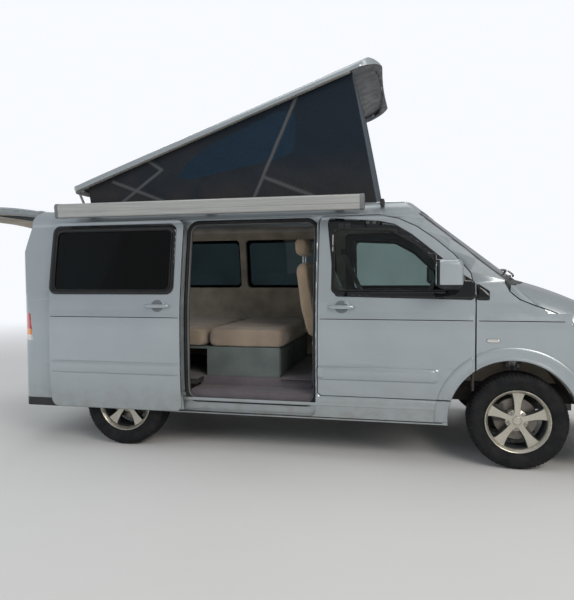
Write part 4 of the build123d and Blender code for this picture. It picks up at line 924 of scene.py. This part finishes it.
for name, side in (("Left", 1), ("Right", -1)):
    door = "front_door_" + name.lower()
    creaseEnd, mouldEnd = (-2.570, -2.500) if side < 0 else (-1.428, -1.440)
    # title, section, first and last station, body, material, length of the faded ends
    for title, section, first, last, body, material, fade in (
            ("creaseDoor", "crease", -1.404, -0.297, door, paint, 0.004),
            ("creaseWing", "crease", -0.283, 0.330, "van_body", paint, 0.16),
            ("creaseRear", "crease", -3.640, creaseEnd, "van_body", paint, 0.05),
            ("sillLine", "sill", -2.540, -0.480, "van_body", paint, 0.10),
            # the black strip on the sill below paints a groove's shade
            ("sillGrooveShadow", "grooveShadow", -2.560, -0.500, "van_body", seal, 0.02),
            # the line pieces below paint the crease's shadow as a thin black strip
            ("creaseShadowDoor", "line", -1.404, -0.297, door, blackTrim, 0.003),
            ("creaseShadowWing", "line", -0.283, 0.300, "van_body", blackTrim, 0.02),
            ("creaseShadowRear", "line", -3.640, creaseEnd, "van_body", blackTrim, 0.02),
            ("mouldDoor", "mould", -1.396, -0.540, door, paint, 0.022),
            ("mouldRear", "mould", -2.570 if side < 0 else -2.500, mouldEnd, "van_body", paint, 0.022)):
        strip(title + name, first, last, stripRows[section], onSide(side), body, material, fade)
for section, first, last, material, fade in (("crease", -3.597, -2.469, paint, 0.004),
                                             # the line piece paints the crease's shadow on the sliding door
                                             ("line", -3.597, -2.469, blackTrim, 0.003),
                                             ("mould", -3.585, -2.480, paint, 0.022)):
    strip(section + "Sliding", first, last, stripRows[section], onSlidingDoor(), "van_body", material, fade)

flareRows = [(-0.004, -0.040), (-0.002, 0.002), (0.002, 0.0095), (0.008, 0.0100), (0.016, 0.0070), (0.032, 0.0042),
             (0.052, 0.0048), (0.068, 0.0070), (0.078, 0.0066), (0.088, 0.0030), (0.096, -0.0014)]


def flare(title, side, station, radius, first, last, body, keep=(), rows=flareRows):
    # a ring round the wheel arch over (angle, distance from the arch edge); what stays of it lies behind each plane
    # of (point, direction)
    rows = np.array(rows)
    angle = np.radians(np.linspace(first, last, 110))[:, None]
    r = radius + rows[None, :, 0]
    height = axleHeight + r * np.sin(angle)
    along = station + r * np.cos(angle)
    points = onSide(side)(along, height, np.broadcast_to(rows[None, :, 1], r.shape))
    piece = newPiece(title, points, gridFaces(110, len(rows)), body, paint)

    def work(bm):
        for point, direction in keep:
            splitAt(bm, (frontAxle + point[0], 0, point[1]), (direction[0], 0, direction[1]), clear_outer=True)
    reworked(piece.data, work)
    thicken(tidyNormals(piece), 0.0015)


# the front arch: station and radius of its middle, and where door, wing and sill part it
frontArch = {"station": -0.040, "radius": 0.436, "wingEdge": -0.2845, "doorEdge": -0.3090, "sillTop": 0.4680,
             "doorFoot": 0.4785}
rearArchRadius = 0.425
for name, side in (("Left", 1), ("Right", -1)):
    flare("flareRear" + name, side, -wheelbase, rearArchRadius, -3, 183, "van_body")
    arch = (side, frontArch["station"], frontArch["radius"])
    wingEdge, doorEdge = (frontArch["wingEdge"], 0.0), (frontArch["doorEdge"], 0.0)
    flare("flareFront" + name, *arch, -2, 183, "van_body", keep=[(wingEdge, (-1, 0))])
    flare("flareSill" + name, *arch, 90, 183, "van_body",
          keep=[(wingEdge, (1, 0)), ((0.0, frontArch["sillTop"]), (0, 1))])
    flare("flareDoor" + name, *arch, 90, 183, "front_door_" + name.lower(),
          keep=[(doorEdge, (1, 0)), ((0.0, frontArch["doorFoot"]), (0, -1))], rows=flareRows[1:])


def handle(title, first, last, height, place, body):
    # a bowed bar over a round dish: a raised rim, and inside it a darker disc that paints the dish's shade
    middle = (first + last) / 2
    ring = ellipse(middle, height, 0.052, 0.050, 40)
    band(title + "Dish", ring, bead(0.008, 0.0022), place, body, paint)
    patch(title + "Shade", ring, place, body, dishShadePaint, pitch=0.02, thickness=0.0008,
          lift=lambda u, v: np.full(u.shape, 0.0014))
    t = np.linspace(0, 1, 25)
    s = first + (last - first) * t
    out = 0.004 + 0.030 * np.sin(math.pi * t) ** 0.45
    a = np.linspace(0, 2 * math.pi, 20, endpoint=False)
    flat = np.sign(np.cos(a)) * np.abs(np.cos(a)) ** 0.7 * 0.0065
    tall = np.sign(np.sin(a)) * np.abs(np.sin(a)) ** 0.7 * 0.0140
    station = np.broadcast_to(s[:, None], (25, 20))
    points = place(station, height + tall[None, :] * (0.75 + 0.25 * np.sin(math.pi * t))[:, None],
                   out[:, None] + flat[None, :])
    faces = gridFaces(25, 20, closeColumns=True).tolist() + [list(range(20)), [24 * 20 + i for i in range(20)]]
    sharpen(tidyNormals(newPiece(title + "Bar", points, faces, body, paint)), 60)


for name, side in (("Left", 1), ("Right", -1)):
    handle("handle" + name, -1.329, -1.131, 1.135, onSide(side), "front_door_" + name.lower())
    ring = rounded([(-0.217, 0.896), (-0.132, 0.896), (-0.132, 0.920), (-0.217, 0.920)], 0.0119)
    patch("repeater" + name, ring, onSide(side, 0.0030), "van_body", clearLens, pitch=0.01, thickness=0.004)
    band("repeaterRim" + name, ring, bead(0.005, 0.0050), onSide(side), "van_body", greyPlastic)
handle("handleSliding", -2.752, -2.551, 1.136, onSlidingDoor(), "van_body")
print("side details made")

doorway = {"loop": [(-2.448, 0.402), (-1.439, 0.402), (-1.439, 1.778), (-2.448, 1.778)], "radius": 0.070}
doorLoop = rounded(doorway["loop"], doorway["radius"], 12)
band("doorwaySeal", doorLoop,
     [(-0.006, 0.000), (0.000, 0.012), (0.010, 0.017), (0.020, 0.012), (0.026, 0.000), (0.010, -0.002)],
     onSide(-1, -0.0265), "van_body", seal)
band("doorwayLine", doorLoop,
     [(-0.012, -0.030), (-0.009, -0.004), (-0.006, 0.001), (-0.003, -0.004), (-0.003, -0.030)],
     onSide(-1, -0.0265), "van_body", greyPlastic)
boxPiece("stepTray", (-2.436, -0.8700, 0.4600), (-1.454, -0.6540, 0.4690), "van_body", matting, 0.003)
boxPiece("stepRiser", (-2.436, -0.6560, 0.4600), (-1.454, -0.6510, 0.5380), "van_body", matting, 0.001)
boxPiece("sillRiser", (-2.436, -0.8700, 0.3960), (-1.454, -0.8640, 0.4660), "van_body", matting, 0.002)
print("doorway made")


def puffed(title, profile, middle, half, body, cloth, power=7.0, seams=(), columns=56, rows=41, stands=(),
           slotName=None):
    # a side profile carried across y; at (turn, across) it shrinks to its middle by
    # (1 - |across|^power)^(1/power), and seams pull it in
    loop = respaced(rounded(profile, 0.045, 6), 0.012)
    step = np.linalg.norm(np.roll(loop, -1, 0) - loop, axis=1)
    place = np.concatenate([[0], np.cumsum(step)])
    want = np.linspace(0, place[-1], columns, endpoint=False)
    closed = np.concatenate([loop, loop[:1]])
    loop = np.stack([np.interp(want, place, closed[:, i]) for i in (0, 1)], -1)
    centre = (loop.min(0) + loop.max(0)) / 2
    w = np.sin(np.linspace(-math.pi / 2, math.pi / 2, rows))
    size = (1 - np.abs(w) ** power) ** (1 / power)
    size[0] = size[-1] = 0
    normal = outwards(loop)
    pull = sum((np.exp(-((w - at) / 0.022) ** 2) for at in seams), np.zeros(rows))
    sink = 0.007 * pull * (size > 0.5)
    flat = centre + (loop - centre)[None] * size[:, None, None] - normal[None] * sink[:, None, None]
    row, turn = w[:, None], want[None]
    ripple = 0.0022 * np.sin(row * 23 + turn * 31) * np.sin(turn * 17 + row * 5)
    flat = flat + normal[None] * (ripple * (size > 0.6)[:, None])[..., None]
    y = np.broadcast_to(middle + half * w[:, None], flat.shape[:2])
    points = np.stack([frontAxle + flat[..., 0], y, flat[..., 1]], -1)
    piece = newPiece(title, points, gridFaces(rows, columns, closeColumns=True), body, cloth, stands=stands,
                     slotName=slotName)
    tidyNormals(piece, 2e-4)
    sub = piece.modifiers.new("soft", "SUBSURF")
    sub.levels = sub.render_levels = 1
    return piece


seatSpec = {"station": -1.265, "half": 0.252, "offset": 0.480}
for name, node, side in (("driver", "driver_seat", 1), ("passenger", "passenger_seat", -1)):
    s0 = seatSpec["station"]
    y0 = side * seatSpec["offset"]
    seatCushion = [(s0 - 0.236, 0.796), (s0 + 0.250, 0.796), (s0 + 0.261, 0.862), (s0 + 0.205, 0.903), (s0, 0.880),
                   (s0 - 0.236, 0.872)]
    puffed(name + "Cushion", seatCushion, y0, seatSpec["half"], bodyOfNode[node], seatCloth, seams=(-0.56, 0.56),
           stands=(node,), slotName="seat_cloth")
    back = [(s0 - 0.150, 0.880), (s0 - 0.176, 0.960), (s0 - 0.214, 1.180), (s0 - 0.262, 1.462), (s0 - 0.300, 1.480),
            (s0 - 0.362, 1.440), (s0 - 0.322, 1.130), (s0 - 0.262, 0.880)]
    puffed(name + "Back", back, y0, seatSpec["half"] - 0.010, bodyOfNode[node], seatCloth, seams=(-0.52, 0.52),
           power=6)
    rest = [(s0 - 0.380, 1.530), (s0 - 0.274, 1.522), (s0 - 0.264, 1.600), (s0 - 0.284, 1.670), (s0 - 0.390, 1.666)]
    puffed(name + "Restraint", rest, y0, 0.138, bodyOfNode[node], seatCloth, power=4)
    for offset in (-0.055, 0.055):
        tube(name + "Post" + ("A" if offset < 0 else "B"),
             [(frontAxle + s0 - 0.325, y0 + offset, z) for z in (1.440, 1.480, 1.520, 1.560)], 0.006,
             bodyOfNode[node], chrome)
    boxPiece(name + "Pedestal", (s0 - 0.188, y0 - 0.203, 0.5392), (s0 + 0.188, y0 + 0.203, 0.800), bodyOfNode[node],
             darkPlastic, 0.020)
    boxPiece(name + "Skirt", (s0 - 0.215, y0 - 0.235, 0.735), (s0 + 0.225, y0 + 0.235, 0.802), bodyOfNode[node],
             darkPlastic, 0.012)

webbing = clothMaterial("webbing", (0.20, 0.20, 0.19), (0.30, 0.295, 0.28), 500, 0.0003, 0.1)
for name, side in (("Left", 1), ("Right", -1)):
    # the belt leans from the pillar to a foot at the seat's side, as the photo shows it, with its flat side inwards
    t = np.linspace(0, 1, 17)
    path = np.stack([frontAxle - 1.412 + 0.352 * t, side * (0.797 - 0.030 * t), 1.600 - 0.770 * t], -1)
    tube("belt" + name, path, 0, "van_body", webbing,
         section=[(-0.0015, -0.023), (0.0015, -0.023), (0.0015, 0.023), (-0.0015, 0.023)])
    boxPiece("beltAnchor" + name, (-1.440, side * 0.803 - 0.010, 1.585), (-1.392, side * 0.803 + 0.010, 1.640),
             "van_body", darkPlastic, 0.004)
    boxPiece("beltFoot" + name, (-1.085, side * 0.744 - 0.028, 0.800), (-1.035, side * 0.744 + 0.028, 0.850),
             "van_body", darkPlastic, 0.004)

bedSpec = {"cushions": [(-2.392, -1.735), (-3.080, -2.400), (-3.790, -3.088)], "half": 0.637, "low": 0.7810,
           "high": 0.9340}
for i, (rear, front) in enumerate(bedSpec["cushions"]):
    low, high = bedSpec["low"], bedSpec["high"]
    profile = [(rear + 0.004, low), (front - 0.004, low), (front - 0.002, (low + high) / 2),
               (front - 0.008, high - 0.004), ((rear + front) / 2, high), (rear + 0.008, high - 0.004)]
    puffed("bedCushion" + str(i + 1), profile, 0.0, bedSpec["half"], "van_body", benchCloth, power=16,
           seams=(-0.62, 0.0, 0.62), columns=84, rows=61,
           stands=("bed_cushions",) if i == 0 else (), slotName="bed_cloth" if i == 0 else None)
boxPiece("benchPanel", (-1.7715, -0.600, 0.556), (-1.7640, 0.600, 0.764), "van_body", board, 0.003)
for y in (-0.300, 0.300):
    patch("benchGrip" + ("Right" if y < 0 else "Left"), ellipse(y, 0.700, 0.045, 0.016, 28), onWall(-1.7625),
          "van_body", blackTrim, pitch=0.02, thickness=0.002)


def onFloor(station, y, out):
    return np.stack([frontAxle + np.asarray(station), np.asarray(y),
                     0.5415 + 0.0012 * np.sin(np.asarray(station) * 19) * np.sin(np.asarray(y) * 13)], -1)

# the mat, with a cut-out round each seat's pedestal
matOuter = [(-1.745, -0.705), (-0.470, -0.705), (-0.470, 0.705), (-1.745, 0.705)]
matHoles = [[(-1.470, y - 0.218), (-1.060, y - 0.218), (-1.060, y + 0.218), (-1.470, y + 0.218)]
            for y in (-0.480, 0.480)]
mat = patch("floorMat", rounded(matOuter, 0.04), onFloor, "van_body", matting,
            holes=[rounded(h, 0.03) for h in matHoles], thickness=0.003, pitch=0.04)
print("soft goods made")

# the tent's walls between deck and panel, as stations and heights, and the flat sheet that they take
tentSpec = {"half": 0.6765, "base": 1.9405, "deckCrown": 0.0436, "rearBase": -3.396, "frontBase": -0.984,
            "rearTop": -3.430, "frontTop": -1.178, "slope": 0.3512, "panelRear": -3.525, "panelFoot": 2.107,
            "panelGap": 0.0035, "perimeter": 7.52, "height": 1.00}


def tentPoint(spec, u, v):
    # u runs once round the walls (rear-right corner, along the right side, front, left side, rear);
    # v runs from the deck to the panel
    rear = spec["rearBase"] + (spec["rearTop"] - spec["rearBase"]) * v
    front = spec["frontBase"] + (spec["frontTop"] - spec["frontBase"]) * v
    side = u % 4
    leg = np.floor(side)
    t = side - leg
    station = np.select([leg == 0, leg == 1, leg == 2],
                        [rear + (front - rear) * t, front, front + (rear - front) * t], rear)
    y = np.select([leg == 0, leg == 1, leg == 2],
                  [-spec["half"] + 0 * t, -spec["half"] + 2 * spec["half"] * t, spec["half"] + 0 * t],
                  spec["half"] - 2 * spec["half"] * t)
    top = spec["panelFoot"] + spec["slope"] * (station - spec["panelRear"]) - spec["panelGap"]
    base = spec["base"] - spec["deckCrown"] * y * y
    return station, y, base + (top - base) * v, leg, t


def segmentDistance(px, pz, a, b):
    # distance from points to a segment
    dx, dz = b[0] - a[0], b[1] - a[1]
    t = np.clip(((px - a[0]) * dx + (pz - a[1]) * dz) / (dx * dx + dz * dz), 0, 1)
    return np.hypot(px - a[0] - t * dx, pz - a[1] - t * dz)


sideSegments = 200
endSegments = 96
u = np.concatenate([np.linspace(0, 1, sideSegments, endpoint=False),
                    1 + np.linspace(0, 1, endSegments, endpoint=False),
                    2 + np.linspace(0, 1, sideSegments, endpoint=False),
                    3 + np.linspace(0, 1, endSegments, endpoint=False)])
v = np.linspace(0, 1, 64)
uu, vv = np.meshgrid(u, v, indexing="ij")
station, y, z, leg, t = tentPoint(tentSpec, uu, vv)
onLong = (leg == 0) | (leg == 2)
hold = np.sin(math.pi * np.clip(vv, 0, 1)) ** 0.6 * np.sin(math.pi * t) ** 0.5
seamLines = [[(-1.961, 1.990), (-1.614, 2.760)], [(-1.871, 2.144), (-1.480, 1.985)],
             [(-2.884, 2.329), (-2.750, 2.243), (-3.127, 1.975)], [(-3.194, 2.162), (-2.740, 1.985)]]
away = np.full(station.shape, 9.0)
for line in seamLines:
    for a, b in zip(line, line[1:]):
        away = np.minimum(away, segmentDistance(station, z, a, b))
piping = np.exp(-(away / 0.013) ** 4) * onLong
valley = np.exp(-((away - 0.035) / 0.020) ** 2) * onLong
windowLoop = rounded([(-2.620, 2.163), (-2.480, 2.160), (-1.773, 2.288), (-1.630, 2.332), (-1.612, 2.640),
                      (-1.760, 2.655), (-2.313, 2.432), (-2.520, 2.294)],
                     [0.02, 0.30, 0.40, 0.07, 0.09, 0.08, 0.30, 0.30])
flat = np.stack([station.ravel(), z.ravel()], -1)
net = (inside(flat, windowLoop).reshape(station.shape) & onLong).astype(float)
rim = np.full(station.shape, 9.0)
for a, b in zip(windowLoop, np.roll(windowLoop, -1, 0)):
    rim = np.minimum(rim, segmentDistance(station, z, a, b))
hem = np.exp(-(rim / 0.009) ** 2) * onLong
# out of the wall: slack hollows between the seams, long drag lines towards the corners, raised piping
drag = np.sin((station * 1.7 + z * 3.1) * 9 + 1.3 * np.sin(station * 5)) * 0.0030
drag = drag + np.sin((station * 3.3 - z * 5.2) * 7) * 0.0016
slack = drag + 0.0030 * np.sin(station * 4.1 + 0.6)
sideOut = hold * slack + 0.0048 * piping + 0.0030 * hem - 0.0035 * valley * hold - 0.0015 * net
pleat = np.sin(t * 2 * math.pi * 9 + 0.8 * np.sin(vv * 4)) * 0.012 + np.sin(t * 2 * math.pi * 21 + vv * 3) * 0.004
endOut = hold * pleat * (0.35 + 0.65 * vv)
out = np.where(onLong, np.clip(sideOut, -0.0080, 0.0085), endOut)
y = y + np.where(leg == 0, -out, np.where(leg == 2, out, 0))
station = station + np.where(leg == 1, np.minimum(out, 0.012) - 0.004, np.where(leg == 3, -out * 0.5, 0))
tentVerts = np.stack([frontAxle + station, y, z], -1)
n, m = station.shape
tentFaces = gridFaces(n, m, closeRows=True)


def tentMaterial():
    # coated canvas: navy where it is new, brown dust low down and towards the rear, paler seams,
    # a dark blue mesh in the window
    p = Shade("tentCanvas", (0.012, 0.018, 0.026), rough=0.85, Specular_IOR_Level=0.15)
    weave = p.math("MAXIMUM", p.wave(520, "X"), p.wave(520, "Z"))
    dust = p.spread(p.noise(3.0, 6, 0.6), 0.35, 0.72)
    low = p.spread(p.axis(2), 2.35, 1.95)
    behind = p.spread(p.axis(0), frontAxle - 1.9, frontAxle - 3.4)
    brown = p.math("MULTIPLY", p.math("MAXIMUM", low, behind), p.math("ADD", p.math("MULTIPLY", dust, 0.6), 0.25))
    cloth = p.tint(brown, (0.012, 0.019, 0.028), (0.050, 0.042, 0.038))
    cloth = p.tint(p.attribute("front"), cloth, (0.085, 0.105, 0.125))
    holes = p.cells(420)
    net = p.tint(p.spread(holes, 0.25, 0.55), (0.006, 0.016, 0.030), (0.014, 0.030, 0.050))
    p.colour(p.tint(p.attribute("seam"), p.tint(p.attribute("net"), cloth, net), (0.085, 0.088, 0.092)))
    p.roughness(p.spread(p.noise(40, 4), 0.3, 0.7, 0.72, 0.92))
    p.bump(weave, 0.0006, 0.5)
    p.bump(p.noise(11, 5, 0.55), 0.012, 0.35)
    return p.material


canvas = tentMaterial()
tent = newPiece("tentWalls", tentVerts, tentFaces, "van_body", canvas, stands=("tent",), slotName="tent_cloth")
for title, values in (("seam", np.clip(piping, 0, 1)), ("net", net), ("front", (leg == 1).astype(float))):
    layer = tent.data.attributes.new(title, "FLOAT", "POINT")
    layer.data.foreach_set("value", values.ravel())
reworked(tent.data, lambda bm: bmesh.ops.recalc_face_normals(bm, faces=bm.faces))
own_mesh(tent)


def boxOnGate(title, low, high, material, bevel=0.002):
    # a box drawn on the shut tailgate and then swung up with it about its hinge line
    piece = boxPiece(title, low, high, "tailgate", material, bevel)
    there = Matrix.Translation((frontAxle + gateHinge[0], 0, gateHinge[1]))
    piece.data.transform(there @ Matrix.Rotation(math.radians(gateSwing), 4, "Y") @ there.inverted())


boxOnGate("rearPlate", (-4.004, -0.260, 0.960), (-3.988, 0.260, 1.072),
          plasticMaterial("blankPlate", (0.78, 0.78, 0.75), 0.35))
boxPiece("frontPlateHolder", (0.872, -0.268, 0.446), (0.894, 0.268, 0.570), "van_body", blackTrim, 0.003)
boxPiece("frontPlate", (0.893, -0.260, 0.452), (0.899, 0.260, 0.564), "van_body", bpy.data.materials["blankPlate"],
         0.002)

for name, side in (("Left", 1), ("Right", -1)):
    ring = rounded([(side * 1.004, 1.290), (side * 1.130, 1.290), (side * 1.130, 1.456), (side * 1.004, 1.456)],
                   0.030)
    patch("mirrorGlass" + name, ring, onWall(-0.5675), "front_door_" + name.lower(), chrome, pitch=0.03,
          thickness=0.002)

for i, (a, b) in enumerate(((-0.955, -0.925), (-1.110, -1.080))):
    boxPiece("roofFoot" + str(i + 1), (a, -0.930, 1.872), (b, -0.735, 1.915), "van_body", blackTrim, 0.006)
boxPiece("dialHood", (-0.448, 0.300, 1.175), (-0.440, 0.560, 1.238), "van_body", fritBlack, 0.004)
boxPiece("centreScreen", (-0.460, -0.110, 1.090), (-0.450, 0.110, 1.200), "van_body", fritBlack, 0.004)
for y in (-0.700, -0.180, 0.180, 0.720):
    for k in range(5):
        boxPiece("vent" + str(int(y * 100) + 100) + "_" + str(k), (-0.4585, y - 0.045, 1.100 + k * 0.014),
                 (-0.4500, y + 0.045, 1.106 + k * 0.014), "van_body", greyPlastic, 0)
print("details made")


def plain(title, colour, rough):
    s = Shade(title, colour, rough)
    s.colour(s.tint(s.spread(s.noise(0.8, 3), 0.3, 0.7), colour, tuple(c * 0.97 for c in colour)))
    return s.material


floorMesh = bpy.data.meshes.new("studioFloor")
floorMesh.from_pydata([(-40, -40, 0), (40, -40, 0), (40, 40, 0), (-40, 40, 0)], [], [(0, 1, 2, 3)])
studioFloor = linked("studioFloor", floorMesh)
floorPaint = plain("studioFloorPaint", (0.74, 0.74, 0.73), 0.8)
floorMesh.materials.append(floorPaint)
floorTree = floorPaint.node_tree
# far from the van the floor glows like the background, so that no horizon shows
where = floorTree.nodes.new("ShaderNodeTexCoord")
length = floorTree.nodes.new("ShaderNodeVectorMath")
length.operation = "LENGTH"
floorTree.links.new(where.outputs["Object"], length.inputs[0])
fade = floorTree.nodes.new("ShaderNodeMapRange")
fade.interpolation_type = "SMOOTHSTEP"
fade.inputs["From Min"].default_value = 4.5
fade.inputs["From Max"].default_value = 15
floorTree.links.new(length.outputs["Value"], fade.inputs["Value"])
glow = floorTree.nodes.new("ShaderNodeEmission")
glow.inputs["Color"].default_value = (0.94, 0.96, 1.0, 1)
join = floorTree.nodes.new("ShaderNodeMixShader")
floorTree.links.new(fade.outputs["Result"], join.inputs[0])
floorTree.links.new(floorTree.nodes["Principled BSDF"].outputs[0], join.inputs[1])
floorTree.links.new(glow.outputs[0], join.inputs[2])
floorTree.links.new(join.outputs[0], floorTree.nodes["Material Output"].inputs[0])


def softLight(title, place, target, size, power, colour=(1, 1, 1)):
    data = bpy.data.lights.new(title, "AREA")
    data.shape = "RECTANGLE"
    data.size, data.size_y = size
    data.energy = power
    data.color = colour
    lamp = linked(title, data)
    lamp.location = place
    lamp.rotation_euler = (Vector(target) - Vector(place)).to_track_quat("-Z", "Y").to_euler()
    lamp.visible_glossy = title != "fillLight"


softLight("keyLight", (6.5, -7.5, 6.5), (0, 0, 1.0), (5, 4), 430, (1.0, 0.94, 0.86))
softLight("fillLight", (-7.5, -6.0, 4.0), (0, 0, 1.0), (6, 4), 210, (0.84, 0.93, 1.0))
softLight("backLight", (-2.0, 9.0, 6.0), (0, 0, 1.2), (8, 4), 220)
softLight("topLight", (0, 0, 8.5), (0, 0, 0), (8, 5), 150)

world = bpy.data.worlds.new("studio")
bpy.context.scene.world = world
world.use_nodes = True
tree = world.node_tree
background = tree.nodes["Background"]
rays = tree.nodes.new("ShaderNodeLightPath")
mix = tree.nodes.new("ShaderNodeMath")
mix.operation = "MAXIMUM"
tree.links.new(rays.outputs["Is Camera Ray"], mix.inputs[0])
mix.inputs[1].default_value = 0.40
tree.links.new(mix.outputs[0], background.inputs["Strength"])
background.inputs["Color"].default_value = (0.94, 0.96, 1.0, 1)

cameraData = bpy.data.cameras.new("camera")
camera = linked("camera", cameraData)
# solved from the photo: where the camera stands, and its turns in radians
cameraPlace = Vector((1.2575, -5.0235, 1.3641))
yaw, pitch, roll = -0.21495, -0.04305, -0.00419
forward = Vector((math.sin(yaw) * math.cos(pitch), math.cos(yaw) * math.cos(pitch), math.sin(pitch)))
across = Vector((math.cos(yaw), -math.sin(yaw), 0))
upward = across.cross(forward)
right = math.cos(roll) * across + math.sin(roll) * upward
top = -math.sin(roll) * across + math.cos(roll) * upward
pose = Matrix((right, top, -forward)).transposed().to_4x4()
pose.translation = cameraPlace
camera.matrix_world = pose
cameraData.sensor_width = cameraData.sensor_height = 36.0
cameraData.lens = 33.6
cameraData.clip_end = 200
bpy.context.scene.camera = camera
bpy.context.scene.view_settings.view_transform = "Standard"
